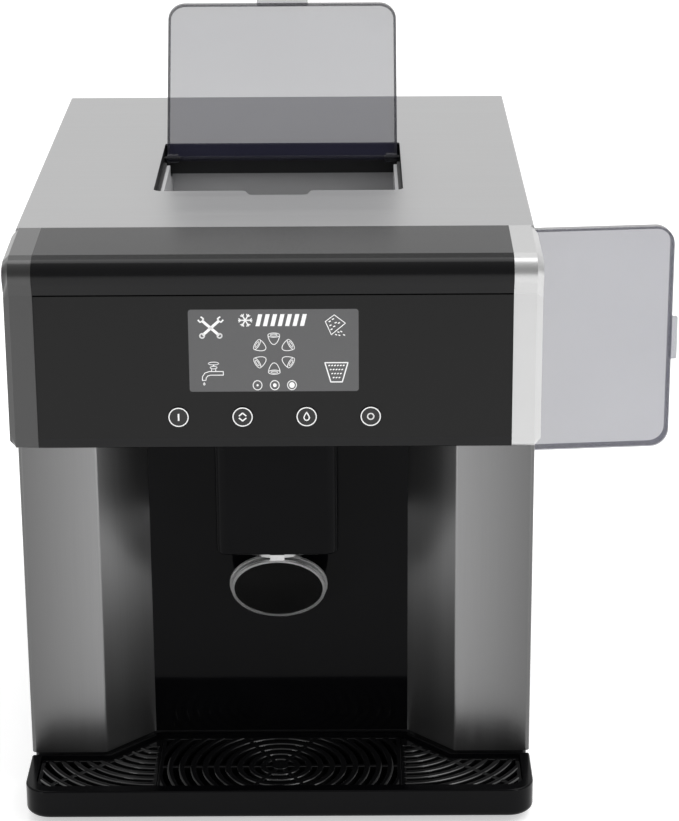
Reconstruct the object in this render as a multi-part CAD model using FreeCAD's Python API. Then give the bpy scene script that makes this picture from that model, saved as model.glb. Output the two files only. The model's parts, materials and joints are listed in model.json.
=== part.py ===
import FreeCAD, Part
import math
import os
from FreeCAD import Vector

# Countertop ice maker with a water dispenser, in millimetres.
# Origin: centre of the cabinet's footprint, at the level of the feet.
# +X is the user's right, +Y goes to the rear, +Z is up.

os.makedirs("parts", exist_ok=True)

# ---- Driving dimensions: cabinet ----
body_width = 360.0
body_depth = 450.0
body_height = 409.0
foot_height = 5.0
base_height = 22.5
sheet = 1.2
moulding = 2.5
running_gap = 0.3
pin_radius = 1.5
pin_clearance = 0.05

# ---- Front columns and niche ----
column_face = 54.0
niche_depth = 35.0
slant_run = 33.6
column_return = 20.0
column_sheet = 1.5

# ---- Head with the controls ----
head_height = 137.0
panel_behind_niche = 9.0
crease_reach = 17.5
crease_drop = 2.0
band_reach = 31.0
band_fall = 4.0
band_height = 24.5
band_radius = 11.0
band_tuck = 10.0
glass_reach = 27.0
glass_thickness = 3.0
trim_height = 7.0
cap_width = 20.0
cap_proud = 2.0
cap_lift = 0.6
cap_bevel = 4.4
display_width = 115.0
display_height = 58.4
display_top_drop = 38.0
button_radius = 7.2
button_hole_clearance = 0.35
button_pitch = 43.7
button_drop = 114.5
button_travel = 1.0
button_proud = 0.8

# ---- Spout and paddle ----
spout_width = 85.5
spout_reach = 15.0
spout_drop = 85.0
spout_corner = 9.0
spout_wall = 2.2
collar_radius = 30.0
collar_drop = 3.0
paddle_radius = 33.5
paddle_thickness = 5.4
paddle_tilt = 31.0
paddle_reach = 29.5
paddle_drop = 119.2
paddle_pivot_reach = 14.0
paddle_pivot_drop = 69.0

# ---- Drip tray ----
tray_reach = 60.0
tray_height = 21.5
tray_corner = 18.0
tray_rim_front = 9.0
tray_rim_side = 7.2
tray_wall = 2.5
tray_gap = 0.8
grille_thickness = 3.2
grille_drop = 2.5
rib_pitch = 8.4
rib_width = 4.6
centre_grille_width = 174.0

# ---- Top opening and lid ----
opening_width = 182.0
opening_front = -83.0
opening_rear = 62.0
opening_corner = 6.0
notch_width = 42.0
notch_depth = 12.0
collar_depth = 24.0
top_pivot_y = 46.0
top_pivot_drop = 8.0
top_lid_length = 126.0
top_lid_side_gap = 2.0
top_lid_rise = 6.5
lid_plate = 2.5
lid_skirt_wall = 2.0
lid_corner = 13.0
top_lid_open = 120.0
top_tab_width = 40.0
top_tab_reach = 5.5

# ---- Side opening and lid ----
side_pivot_y = -151.0
side_pivot_inset = 3.5
side_lid_length = 106.0
side_lid_height = 165.0
side_lid_top_drop = 11.5
side_lid_open = 85.0
side_lid_skirt = 8.0
side_gap = 1.5
side_hinge_gap = 4.2
side_tab_height = 32.0
side_tab_reach = 4.0
side_collar_depth = 10.0
knuckle_radius = 3.0

# ---- Ice compartment ----
liner_wall = 2.5
liner_floor_z = 205.0
foam_thickness = 10.0
foam_depth = 25.0
shelf_thickness = 3.0
basket_wall = 2.0
basket_height = 130.0
basket_depth = 78.0
basket_gap = 4.5
slide_gap = 1.2
trough_radius = 26.0
trough_wall = 2.0
trough_length = 148.0
trough_y = 34.0
trough_drop = 71.0
finger_radius = 4.5
finger_count = 5
finger_pitch = 24.0
finger_row_offset = 8.0
finger_length = 34.0

# ---- Water side ----
tank_beside_opening = 10.0
tank_clear_of_panel = 10.8
tank_front_y = -163.0
tank_rear_y = -37.0
pump_radius = 16.0
pump_height = 46.0
tube_radius = 4.0
spigot_radius = 7.0
spigot_shoulder = 9.0
spigot_bore = 5.0
spigot_reach = 11.0
spigot_x = -14.0
spigot_z = 45.0
plug_length = 18.0

# ---- Refrigeration ----
compressor_radius = 56.0
compressor_height = 118.0
compressor_x = -95.0
compressor_y = 128.0
condenser_width = 152.0
condenser_height = 150.0
condenser_thickness = 22.0
condenser_x = 88.0
fan_radius = 62.0
fan_tip_gap = 3.0
fan_hub_radius = 17.0
fan_depth = 14.0
fan_blade_count = 7
motor_radius = 22.0
motor_length = 26.0
pipe_radius = 3.0

# ---- Values worked out from the driving dimensions ----
half_width = body_width / 2
front_y = -body_depth / 2
rear_y = body_depth / 2
base_top = foot_height + base_height
niche_half = half_width - column_face - slant_run
niche_y = front_y + niche_depth
head_bottom = body_height - head_height
panel_front = niche_y + panel_behind_niche
crease_y = front_y - crease_reach
crease_z = body_height - crease_drop
band_y = front_y - band_reach
band_top = crease_z - band_fall
band_bottom = crease_z - 1.0 - band_height
glass_y = front_y - glass_reach
seat_y = glass_y + glass_thickness
glass_bottom = head_bottom + trim_height
glass_top = band_bottom - 1.0
head_half = half_width + cap_proud - cap_width
display_top = body_height - display_top_drop
display_bottom = display_top - display_height
button_z = body_height - button_drop
board_y = seat_y + 13.0
spout_front = front_y - spout_reach
spout_bottom = head_bottom - spout_drop
spout_half = spout_width / 2
collar_y = spout_front + collar_radius + 1.5
sheet_top = body_height - sheet
flange_depth = 6.0
side_top = body_height - flange_depth
top_pivot_z = body_height - top_pivot_drop
opening_half = opening_width / 2
collar_bottom = body_height - collar_depth
side_pivot_x = half_width - side_pivot_inset
side_lid_top = body_height - side_lid_top_drop
side_lid_bottom = side_lid_top - side_lid_height
side_mid_z = (side_lid_top + side_lid_bottom) / 2
side_open_front = side_pivot_y - side_hinge_gap
side_open_rear = side_pivot_y + side_lid_length + side_gap
side_open_bottom = side_lid_bottom - side_gap
side_open_top = side_lid_top + side_gap
side_collar_x = half_width - side_collar_depth
foam_bottom = liner_floor_z - foam_depth
liner_half = opening_half - 5.0
liner_front = opening_front + 0.5
trough_z = body_height - trough_drop
tank_inner_x = opening_half + tank_beside_opening
tank_outer_x = half_width - tank_clear_of_panel
pan_floor = foot_height + moulding
condenser_rear = rear_y - sheet - 6.0
condenser_front = condenser_rear - condenser_thickness
fan_z = base_top + 18.0 + condenser_height / 2
shroud_rear = condenser_front
shroud_depth = 18.0
shroud_front = shroud_rear - shroud_depth
pivot_y = niche_y - paddle_pivot_reach
pivot_z = head_bottom - paddle_pivot_drop
paddle_y = niche_y - paddle_reach
paddle_z = head_bottom - paddle_drop
tilt = math.radians(paddle_tilt)
paddle_back = Vector(0, math.cos(tilt), math.sin(tilt))
paddle_up = Vector(0, -math.sin(tilt), math.cos(tilt))
inlet_x = -half_width + 40.0
inlet_z = base_top + 26.0
tray_top = foot_height + tray_height
grille_top = tray_top - grille_drop
grille_bottom = grille_top - grille_thickness
ring_centre_y = front_y - 15.0
wing_ring_centre = (niche_half - 0.9, front_y + 21.0)
basket_front = liner_front + basket_gap
basket_rear = basket_front + basket_depth
basket_bottom = liner_floor_z + liner_wall
basket_half = liner_half - basket_gap
slide_low = trough_z - trough_radius - 18.0
slide_high = trough_z - trough_radius - 4.0


# ---- Helpers ----
def save(node, shape):
    """Write one sub-part to its own file."""
    shape.exportStep(f"parts/{node}.step")


def box(x_span, y_span, z_span):
    """Box between two limits on each axis."""
    corner = Vector(min(x_span), min(y_span), min(z_span))
    return Part.makeBox(
        abs(x_span[1] - x_span[0]),
        abs(y_span[1] - y_span[0]),
        abs(z_span[1] - z_span[0]),
        corner,
    )


def rod(start, end, radius):
    """Cylinder from one point to another."""
    run = Vector(*end) - Vector(*start)
    return Part.makeCylinder(radius, run.Length, Vector(*start), run)


def join(shapes):
    """One solid from shapes that overlap or share faces."""
    whole = shapes[0].multiFuse(shapes[1:]) if len(shapes) > 1 else shapes[0]
    return whole.removeSplitter()


def group(shapes):
    """Several separate solids kept in one node."""
    return Part.makeCompound(shapes)


def rounded_wire(corners, place):
    """Closed wire through corners (u, v, radius), set in space by place(u, v)."""
    spans = []
    for index, (u, v, radius) in enumerate(corners):
        here = Vector(u, v, 0)
        before = Vector(*corners[index - 1][:2], 0)
        after = Vector(*corners[(index + 1) % len(corners)][:2], 0)
        back = (before - here).normalize()
        ahead = (after - here).normalize()
        if radius == 0:
            spans.append((here, here, here))
            continue
        half_angle = back.getAngle(ahead) / 2
        run = radius / math.tan(half_angle)
        middle = (back + ahead).normalize()
        crown = here + middle * (radius / math.sin(half_angle) - radius)
        spans.append((here + back * run, crown, here + ahead * run))
    edges = []
    for index, (start, crown, end) in enumerate(spans):
        following = spans[(index + 1) % len(spans)][0]
        if start.distanceToPoint(end) > 1e-6:
            arc = Part.Arc(place(start.x, start.y), place(crown.x, crown.y), place(end.x, end.y))
            edges.append(arc.toShape())
        if end.distanceToPoint(following) > 1e-6:
            edges.append(Part.makeLine(place(end.x, end.y), place(following.x, following.y)))
    return Part.Wire(edges)


def prism(corners, z_span):
    """Outline in plan (x, y, radius), raised between two heights."""
    low = min(z_span)
    wire = rounded_wire(corners, lambda u, v: Vector(u, v, low))
    return Part.Face(wire).extrude(Vector(0, 0, abs(z_span[1] - z_span[0])))


def prism_x(corners, x_span):
    """Side profile (y, z, radius), drawn out along X."""
    low = min(x_span)
    wire = rounded_wire(corners, lambda u, v: Vector(low, u, v))
    return Part.Face(wire).extrude(Vector(abs(x_span[1] - x_span[0]), 0, 0))


def prism_y(corners, y_span):
    """Front profile (x, z, radius), drawn out along Y."""
    low = min(y_span)
    wire = rounded_wire(corners, lambda u, v: Vector(u, low, v))
    return Part.Face(wire).extrude(Vector(0, abs(y_span[1] - y_span[0]), 0))


def rectangle(u_span, v_span, radius):
    """Corners of a rectangle with one corner radius."""
    return [
        (u_span[0], v_span[0], radius),
        (u_span[1], v_span[0], radius),
        (u_span[1], v_span[1], radius),
        (u_span[0], v_span[1], radius),
    ]


def side_normal(start, end):
    """Unit normal to the left of a run in the plane."""
    run = Vector(end[0] - start[0], end[1] - start[1], 0).normalize()
    return Vector(-run.y, run.x, 0)


def mitre(point, first, second, distance):
    """Corner moved by distance off both of its runs."""
    total = first + second
    return Vector(point[0], point[1], 0) + total * (distance / (1 + first.dot(second)))


def inset(corners, distance):
    """Anticlockwise outline moved inwards, with its radii reduced to fit."""
    moved = []
    for index, corner in enumerate(corners):
        before = corners[index - 1]
        after = corners[(index + 1) % len(corners)]
        point = mitre(corner, side_normal(before, corner), side_normal(corner, after), distance)
        turn = (corner[0] - before[0]) * (after[1] - corner[1])
        turn -= (corner[1] - before[1]) * (after[0] - corner[0])
        radius = corner[2] - distance if turn > 0 else corner[2] + distance
        moved.append((point.x, point.y, max(radius, 0.0) if corner[2] > 0 else 0.0))
    return moved


def bent_sheet(path, thickness):
    """Closed outline of a sheet that follows an open path, thickened to its left."""
    far_side = []
    for index, corner in enumerate(path):
        before = path[max(index - 1, 0)]
        after = path[min(index + 1, len(path) - 1)]
        first = side_normal(before, corner) if index > 0 else side_normal(corner, after)
        second = side_normal(corner, after) if index < len(path) - 1 else first
        point = mitre(corner, first, second, thickness)
        far_side.append((point.x, point.y, max(corner[2] - thickness, 0.0)))
    return list(path) + far_side[::-1]


def mirrored(shape):
    """The same piece on the other side of the cabinet."""
    return shape.mirror(Vector(0, 0, 0), Vector(1, 0, 0))


def edges_where(shape, test):
    """Edges whose whole length passes a test on its points."""
    chosen = []
    for edge in shape.Edges:
        points = edge.discretize(5)
        if all(test(point) for point in points):
            chosen.append(edge)
    return chosen


def tube(points, radius, bend):
    """Round tube through points, with one bend radius."""
    vectors = [Vector(*point) for point in points]
    edges = []
    last = vectors[0]
    for index in range(1, len(vectors) - 1):
        here = vectors[index]
        back = (vectors[index - 1] - here).normalize()
        ahead = (vectors[index + 1] - here).normalize()
        half_angle = back.getAngle(ahead) / 2
        run = bend / math.tan(half_angle)
        crown = here + (back + ahead).normalize() * (bend / math.sin(half_angle) - bend)
        start = here + back * run
        end = here + ahead * run
        edges.append(Part.makeLine(last, start))
        edges.append(Part.Arc(start, crown, end).toShape())
        last = end
    edges.append(Part.makeLine(last, vectors[-1]))
    path = Part.Wire(edges)
    ring = Part.Wire([Part.makeCircle(radius, vectors[0], vectors[1] - vectors[0])])
    return path.makePipeShell([ring], True, False, 2)


# ---- Base, feet and outer panels ----
def base_pan():
    under = front_y + 3.0
    back = niche_y + 2.0
    outline = [
        (-half_width + 2, rear_y, 4),
        (-half_width + 2, under, 3),
        (-niche_half - slant_run - 2, under, 0),
        (-niche_half - 2, back, 0),
        (niche_half + 2, back, 0),
        (niche_half + slant_run + 2, under, 0),
        (half_width - 2, under, 3),
        (half_width - 2, rear_y, 4),
    ]
    pan = prism(outline, (foot_height, base_top))
    hollow = prism(inset(outline, moulding), (pan_floor, base_top))
    return pan.cut(hollow)


def foot_places():
    """Four corner feet, and a pad in the middle that keeps the pan from sagging."""
    corners = [
        (side * (half_width - 38), y)
        for side in (-1, 1)
        for y in (niche_y + 38, rear_y - 38)
    ]
    return corners + [(0, 0)]


def rubber_feet():
    feet = []
    for x, y in foot_places():
        foot = Part.makeCone(11.0, 13.0, foot_height, Vector(x, y, 0))
        feet.append(foot)
    return group(feet)


def column():
    """Right column: one bent stainless sheet, from the side round to the niche."""
    path = [
        (niche_half, niche_y, 0),
        (niche_half + slant_run, front_y, 3),
        (half_width, front_y, 3),
        (half_width, front_y + column_return, 0),
    ]
    return prism(bent_sheet(path, column_sheet), (base_top, head_bottom))


def niche_wall():
    y_span = (niche_y, niche_y + moulding)
    wall = box((-niche_half, niche_half), y_span, (base_top, head_bottom))
    tube_hole = box((-20, 20), (niche_y - 1, niche_y + moulding + 1), (head_bottom - 45, head_bottom - 25))
    return wall.cut(tube_hole)


def side_sheet():
    """Right side sheet; its front edge steps back behind the end cap."""
    x_span = (half_width - sheet, half_width)
    panel = box(x_span, (front_y + column_return, rear_y - sheet), (base_top, side_top))
    return panel.cut(box((x_span[0] - 1, x_span[1] + 1), (front_y, panel_front), (head_bottom, body_height)))


def vent_slots(centre, along, rows, columns, slot, pitch):
    """Slots with round ends through a panel that faces X or Y."""
    cuts = []
    length, height = slot
    for row in range(rows):
        for column_index in range(columns):
            across = centre[0] + (column_index - (columns - 1) / 2) * pitch[0]
            up = centre[1] + (row - (rows - 1) / 2) * pitch[1]
            spans = ((across - length / 2, across + length / 2), (up - height / 2, up + height / 2))
            corners = rectangle(spans[0], spans[1], height / 2 - 0.01)
            cuts.append(prism_x(corners, along[1]) if along[0] == "x" else prism_y(corners, along[1]))
    return group(cuts)


def left_side_panel():
    panel = mirrored(side_sheet())
    through = ("x", (-half_width - 1, -half_width + sheet + 1))
    slots = vent_slots((compressor_y, base_top + 65), through, 9, 2, (44, 4), (56, 10))
    return panel.cut(slots)


def side_opening_outline(grow):
    """Side opening, nearly square at its hinge, and larger by grow on every side."""
    low = side_open_bottom - grow
    high = side_open_top + grow
    return [
        (side_open_front - grow, low, 1),
        (side_open_rear + grow, low, lid_corner),
        (side_open_rear + grow, high, lid_corner),
        (side_open_front - grow, high, 1),
    ]


def right_side_panel():
    panel = side_sheet()
    panel = panel.cut(prism_x(side_opening_outline(0), (half_width - sheet - 1, half_width + 1)))
    notch = rectangle(
        (side_open_rear - 1, side_open_rear + side_tab_reach + 3),
        (side_mid_z - side_tab_height / 2 - 3, side_mid_z + side_tab_height / 2 + 3),
        0,
    )
    return panel.cut(prism_x(notch, (half_width - sheet - 1, half_width + 1)))


def opening_outline(grow):
    """Top opening with its finger notch, larger by grow on every side."""
    notch_half = notch_width / 2
    corners = [
        (-opening_half, opening_front, opening_corner),
        (-notch_half - 3, opening_front, 3),
        (-notch_half, opening_front - notch_depth, 4),
        (notch_half, opening_front - notch_depth, 4),
        (notch_half + 3, opening_front, 3),
        (opening_half, opening_front, opening_corner),
        (opening_half, opening_rear, 3),
        (-opening_half, opening_rear, 3),
    ]
    return inset(corners, -grow) if grow else corners


def top_panel():
    blank = box((-half_width, half_width), (panel_front, rear_y), (side_top, body_height))
    rounded = edges_where(
        blank,
        lambda p: p.z > body_height - 0.01 and (abs(p.x) > half_width - 0.01 or p.y > rear_y - 0.01),
    )
    blank = blank.makeFillet(2.0, rounded)
    inner = box(
        (-half_width + sheet, half_width - sheet),
        (panel_front - 1, rear_y - sheet),
        (side_top - 1, sheet_top),
    )
    panel = blank.cut(inner)
    return panel.cut(prism(opening_outline(0), (sheet_top - 1, body_height + 1)))


def rear_screw_places():
    return [
        (side * (half_width - 12), z)
        for side in (-1, 1)
        for z in (base_top + 14, (base_top + side_top) / 2, side_top - 12)
    ]


def rear_panel():
    panel = box((-half_width, half_width), (rear_y - sheet, rear_y), (base_top, side_top))
    through = ("y", (rear_y - sheet - 1, rear_y + 1))
    slots = vent_slots((condenser_x, fan_z), through, 13, 2, (64, 5), (74, 10))
    upper = vent_slots((compressor_x, side_top - 40), through, 4, 2, (44, 4), (56, 10))
    panel = panel.cut(slots).cut(upper)
    inlet = box((inlet_x - 14.2, inlet_x + 14.2), through[1], (inlet_z - 10.2, inlet_z + 10.2))
    panel = panel.cut(inlet)
    spigot = rod((spigot_x, through[1][0], spigot_z), (spigot_x, through[1][1], spigot_z), spigot_shoulder)
    panel = panel.cut(spigot)
    for x, z in rear_screw_places():
        panel = panel.cut(rod((x, rear_y - sheet - 1, z), (x, rear_y + 1, z), 1.8))
    return panel


def cabinet_screws():
    screws = []
    for x, z in rear_screw_places():
        shank = rod((x, rear_y - 9, z), (x, rear_y, z), 1.8)
        head = rod((x, rear_y, z), (x, rear_y + 1.6, z), 3.6)
        slot = box((x - 0.4, x + 0.4), (rear_y + 0.8, rear_y + 2), (z - 2.4, z + 2.4))
        cross = box((x - 2.4, x + 2.4), (rear_y + 0.8, rear_y + 2), (z - 0.4, z + 0.4))
        screws.append(join([shank, head]).cut(slot).cut(cross))
    return group(screws)


# ---- Head ----
def head_profile(lift):
    """Side profile of the head: sloped top, bullnose band, flat face."""
    return [
        (panel_front, body_height, 0),
        (crease_y, crease_z, 0),
        (band_y - lift, band_top, band_radius),
        (band_y - lift, band_bottom + band_tuck, band_radius),
        (glass_y - lift, band_bottom, 0),
        (glass_y - lift, head_bottom, 3),
        (panel_front, head_bottom, 0),
    ]


def head_housing():
    profile = head_profile(0)[:4] + [
        (glass_y, band_bottom, 0),
        (seat_y, band_bottom, 0),
        (seat_y, head_bottom, 0),
        (panel_front, head_bottom, 0),
    ]
    shell = prism_x(profile, (-head_half, head_half))
    wall = moulding
    hollow = [
        (panel_front + 1, body_height - wall - 0.4, 0),
        (crease_y, crease_z - wall, 0),
        (band_y + wall, band_top - wall, band_radius - wall),
        (band_y + wall, band_bottom + band_tuck, band_radius - 2 * wall),
        (seat_y + wall, band_bottom + wall, 0),
        (seat_y + wall, head_bottom + wall, 0),
        (panel_front + 1, head_bottom + wall, 0),
    ]
    shell = shell.cut(prism_x(hollow, (-head_half + wall, head_half - wall)))
    window_half = button_pitch * 2
    window = rectangle((-window_half, window_half), (button_z - 11, display_top + 4), 3)
    shell = shell.cut(prism_y(window, (seat_y - 1, seat_y + wall + 1)))
    duct = box(
        (-spout_half + 12, spout_half - 12),
        (spout_front + 8, niche_y - 5),
        (head_bottom - 1, head_bottom + wall + 1),
    )
    shell = shell.cut(duct)
    posts = []
    for x in (-window_half - 4, window_half + 4):
        for z in (button_z, display_top - 4):
            posts.append(rod((x, seat_y + wall - 0.5, z), (x, board_y, z), 3.5))
    return join([shell] + posts)


def control_glass():
    outline = rectangle((-head_half, head_half), (glass_bottom, glass_top), 0)
    glass = prism_y(outline, (glass_y, seat_y))
    window = rectangle((-display_width / 2, display_width / 2), (display_bottom, display_top), 2)
    glass = glass.cut(prism_y(window, (glass_y - 1, seat_y + 1)))
    hole_radius = button_radius + button_hole_clearance
    for x in button_places():
        glass = glass.cut(rod((x, glass_y - 1, button_z), (x, seat_y + 1, button_z), hole_radius))
    return glass


def display_window():
    outline = rectangle((-display_width / 2, display_width / 2), (display_bottom, display_top), 2)
    return prism_y(outline, (glass_y, seat_y))


def button_places():
    return [(index - 1.5) * button_pitch for index in range(4)]


def display_board():
    """Circuit board with the display module and one switch behind each button."""
    reach = button_pitch * 2 + 8
    board = box((-reach, reach), (board_y, board_y + 1.6), (button_z - 8, display_top + 2))
    module = box(
        (-display_width / 2 + 1, display_width / 2 - 1),
        (seat_y, board_y),
        (display_bottom + 1, display_top - 1),
    )
    pieces = [board, module]
    for x in button_places():
        pieces.append(box((x - 3, x + 3), (board_y - 3.5, board_y), (button_z - 3, button_z + 3)))
    return join(pieces)


def button(x):
    """Round cap on a stem, with a flange that keeps it behind the glass."""
    face = glass_y - button_proud
    cap = rod((x, face, button_z), (x, seat_y + 0.6, button_z), button_radius)
    rim = edges_where(cap, lambda p: p.y < face + 0.01)
    cap = cap.makeFillet(0.5, rim)
    flange = rod((x, seat_y + 0.4, button_z), (x, seat_y + 1.6, button_z), button_radius + 1.6)
    stem = rod((x, seat_y + 1.5, button_z), (x, board_y - 3.5 - button_travel - 0.2, button_z), 2.5)
    return join([cap, flange, stem])


def head_bottom_trim():
    """Angle strip under the glass and round the lower front edge of the head."""
    path = [(seat_y, head_bottom + trim_height, 0), (glass_y, head_bottom + trim_height, 0)]
    path += [(glass_y, head_bottom, 1.5), (seat_y, head_bottom, 0)]
    return prism_x(path, (-head_half, head_half))


def end_cap():
    """Right end cap: hollow moulding that closes the head, with a bevelled outer edge."""
    outer_x = head_half + cap_width
    profile = head_profile(cap_lift)
    cap = prism_x(profile, (head_half, outer_x - cap_bevel))
    start = rounded_wire(profile, lambda u, v: Vector(outer_x - cap_bevel, u, v))
    end = rounded_wire(inset(profile, cap_bevel), lambda u, v: Vector(outer_x, u, v))
    cap = join([cap, Part.makeLoft([start, end], True, True)])
    wall = moulding
    pocket = [
        (panel_front + 1, body_height - wall - 3, 0),
        (crease_y + wall, crease_z - wall - 3, 2),
        (glass_y + wall, band_bottom - 2, 0),
        (glass_y + wall, head_bottom + wall, 0),
        (panel_front + 1, head_bottom + wall, 0),
    ]
    return cap.cut(prism_x(pocket, (head_half - 1, outer_x - wall - cap_bevel)))


# ---- Spout, collar, nozzle and paddle ----
def spout_housing():
    outline = [
        (-spout_half, niche_y, 0),
        (-spout_half, spout_front, spout_corner),
        (spout_half, spout_front, spout_corner),
        (spout_half, niche_y, 0),
    ]
    shell = prism(outline, (spout_bottom, head_bottom))
    shell = shell.makeFillet(2.0, [edge for edge in shell.Edges if is_lower_ring(edge)])
    hollow = [
        (-spout_half + spout_wall, niche_y + 1, 0),
        (-spout_half + spout_wall, spout_front + spout_wall, spout_corner - spout_wall),
        (spout_half - spout_wall, spout_front + spout_wall, spout_corner - spout_wall),
        (spout_half - spout_wall, niche_y + 1, 0),
    ]
    shell = shell.cut(prism(hollow, (spout_bottom + spout_wall, head_bottom + 1)))
    floor_span = (spout_bottom - 1, spout_bottom + 4)
    mouth = rod((0, collar_y, floor_span[0]), (0, collar_y, floor_span[1]), collar_radius - 1.1)
    nozzle_slot = box((-5, 5), (spout_front + spout_wall, collar_y), floor_span)
    shell = shell.cut(mouth).cut(nozzle_slot)
    ears = [box((-spout_half + 1, spout_half - 1), (niche_y - 9, niche_y - 2), (pivot_z + 4, pivot_z + 7))]
    for side in (-1, 1):
        ear = box((side * 7, side * 9.5), (pivot_y - 4, niche_y - 2), (pivot_z - 5, pivot_z + 7))
        ears.append(ear)
    shell = join([shell] + ears)
    return shell.cut(rod((-12, pivot_y, pivot_z), (12, pivot_y, pivot_z), pin_radius))


def is_lower_ring(edge):
    """Bottom edges of the spout housing, apart from the one on the wall."""
    points = edge.discretize(5)
    low = all(point.z < spout_bottom + 0.01 for point in points)
    on_wall = all(point.y > niche_y - 0.01 for point in points)
    return low and not on_wall


def spout_collar():
    """Chrome collar round the spout's mouth, cut flat against the niche wall."""
    top = spout_bottom + spout_wall
    wall = 1.2
    low = spout_bottom - collar_drop
    neck_radius = collar_radius - 1.1
    skirt = Part.makeCone(collar_radius - 1.0, collar_radius, collar_drop, Vector(0, collar_y, low))
    neck = rod((0, collar_y, spout_bottom - 0.1), (0, collar_y, top), neck_radius)
    ring = join([skirt, neck])
    bore = rod((0, collar_y, low - 1), (0, collar_y, top + 1), neck_radius - wall)
    ring = ring.cut(bore)
    behind_wall = box((-60, 60), (niche_y - 0.3, niche_y + 60), (spout_bottom - 20, spout_bottom + 20))
    nozzle_gap = box((-5, 5), (spout_front - 1, collar_y), (spout_bottom - 20, top + 1))
    bar_half = math.sqrt(neck_radius ** 2 - (niche_y - collar_y) ** 2) - 0.3
    bar = box((-bar_half, bar_half), (niche_y - 1.8, niche_y - 0.3), (spout_bottom + 0.2, top))
    return join([ring.cut(behind_wall).cut(nozzle_gap), bar])


def water_nozzle():
    """Small chrome block at the front of the collar that the water leaves by."""
    block = prism(
        rectangle((-5, 5), (spout_front + spout_wall, spout_front + 5.6), 1.0),
        (spout_bottom - 4.2, spout_bottom + 14),
    )
    lip = box(
        (-5, 5),
        (spout_front + 0.6, spout_front + spout_wall + 0.1),
        (spout_bottom - 4.2, spout_bottom),
    )
    bore = rod(
        (0, spout_front + 3.9, spout_bottom - 5),
        (0, spout_front + 3.9, spout_bottom + 15),
        1.2,
    )
    return join([block, lip]).cut(bore)


def paddle_point(back, up):
    """Point in the paddle's middle plane, behind its face and up its slope."""
    return Vector(0, paddle_y, paddle_z) + paddle_back * back + paddle_up * up


def paddle_disc(start, end, radius):
    return Part.makeCylinder(radius, end - start, paddle_point(start, 0), paddle_back)


def paddle_plate():
    return paddle_disc(0.4, paddle_thickness, paddle_radius - 2.1)


def paddle_rims():
    """Chrome rims round the front and the back of the plate."""
    bore = paddle_disc(-1, paddle_thickness + 1, paddle_radius - 2.1)
    front = paddle_disc(0, 1.8, paddle_radius).cut(bore)
    rear = paddle_disc(paddle_thickness - 1.6, paddle_thickness, paddle_radius + 1.3).cut(bore)
    return group([front, rear])


def paddle_arm():
    pad = paddle_disc(paddle_thickness, paddle_thickness + 2, 9.0)
    foot = paddle_point(paddle_thickness + 1, 0)
    strip = bent_sheet([(foot.y - 1, foot.z - 1, 0), (pivot_y - 2, pivot_z, 0)], -4)
    boss = rod((-5, pivot_y, pivot_z), (5, pivot_y, pivot_z), 4.0)
    arm = join([pad, prism_x(strip, (-5, 5)), boss])
    behind_face = paddle_disc(-30, paddle_thickness, 60)
    arm = arm.cut(behind_face)
    return arm.cut(rod((-6, pivot_y, pivot_z), (6, pivot_y, pivot_z), pin_radius + pin_clearance))


def paddle_switch():
    body = box((-6, 6), (niche_y - 10, niche_y), (spout_bottom + 4, spout_bottom + 13))
    plunger = rod((0, niche_y - 11.5, spout_bottom + 7), (0, niche_y - 9, spout_bottom + 7), 1.2)
    return join([body, plunger])


# ---- Drip tray and grilles ----
def tray_outline():
    slant_front = niche_half + slant_run - tray_gap
    return [
        (-half_width, front_y - tray_reach, tray_corner),
        (half_width, front_y - tray_reach, tray_corner),
        (half_width, front_y - 1, 2),
        (slant_front, front_y - 1, 1),
        (niche_half - tray_gap, niche_y - 1, 1),
        (-niche_half + tray_gap, niche_y - 1, 1),
        (-slant_front, front_y - 1, 1),
        (-half_width, front_y - 1, 2),
    ]


def tray_mouth(gap):
    """Outline of the recess that the grilles lie in, smaller by gap."""
    slant_front = niche_half + slant_run - tray_gap - tray_wall
    side = half_width - tray_rim_side - gap
    front = front_y - tray_reach + tray_rim_front + gap
    wing_rear = front_y - 1 - tray_wall - gap
    return [
        (-side, front, tray_corner - tray_rim_side),
        (side, front, tray_corner - tray_rim_side),
        (side, wing_rear, 1.5),
        (slant_front - gap, wing_rear, 0),
        (niche_half - tray_gap - tray_wall - gap, niche_y - 1 - tray_wall - gap, 0),
        (-niche_half + tray_gap + tray_wall + gap, niche_y - 1 - tray_wall - gap, 0),
        (-slant_front + gap, wing_rear, 0),
        (-side, wing_rear, 1.5),
    ]


def drip_tray():
    body = prism(tray_outline(), (foot_height, tray_top))
    body = body.makeFillet(4.0, [edge for edge in body.Edges if is_tray_edge(edge, foot_height)])
    body = body.makeFillet(1.2, [edge for edge in body.Edges if is_tray_edge(edge, tray_top)])
    body = body.cut(prism(tray_mouth(0), (grille_bottom, tray_top + 1)))
    return body.cut(prism(inset(tray_mouth(0), 3.0), (foot_height + tray_wall, tray_top + 1)))


def is_tray_edge(edge, level):
    """Edges of the tray's front and sides at one level."""
    if edge.Degenerated:
        return False
    points = edge.discretize(5)
    flat = all(abs(point.z - level) < 0.01 for point in points)
    return flat and all(point.y < front_y - 2.9 for point in points)


def ring_slots(centre, area, bars):
    """Concentric slots about a point, kept inside an area and clear of some bars."""
    reach = body_width / 2.4
    low = Vector(centre[0], centre[1], grille_bottom - 5)
    slots = []
    ring = rib_pitch - rib_width / 2
    while ring < reach:
        outer = Part.makeCylinder(ring + rib_pitch - rib_width, 20, low)
        inner = Part.makeCylinder(ring, 20, low)
        piece = outer.cut(inner).common(area)
        if piece.Volume > 1.0:
            slots.append(piece.cut(bars))
        ring += rib_pitch
    return group(slots)


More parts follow.
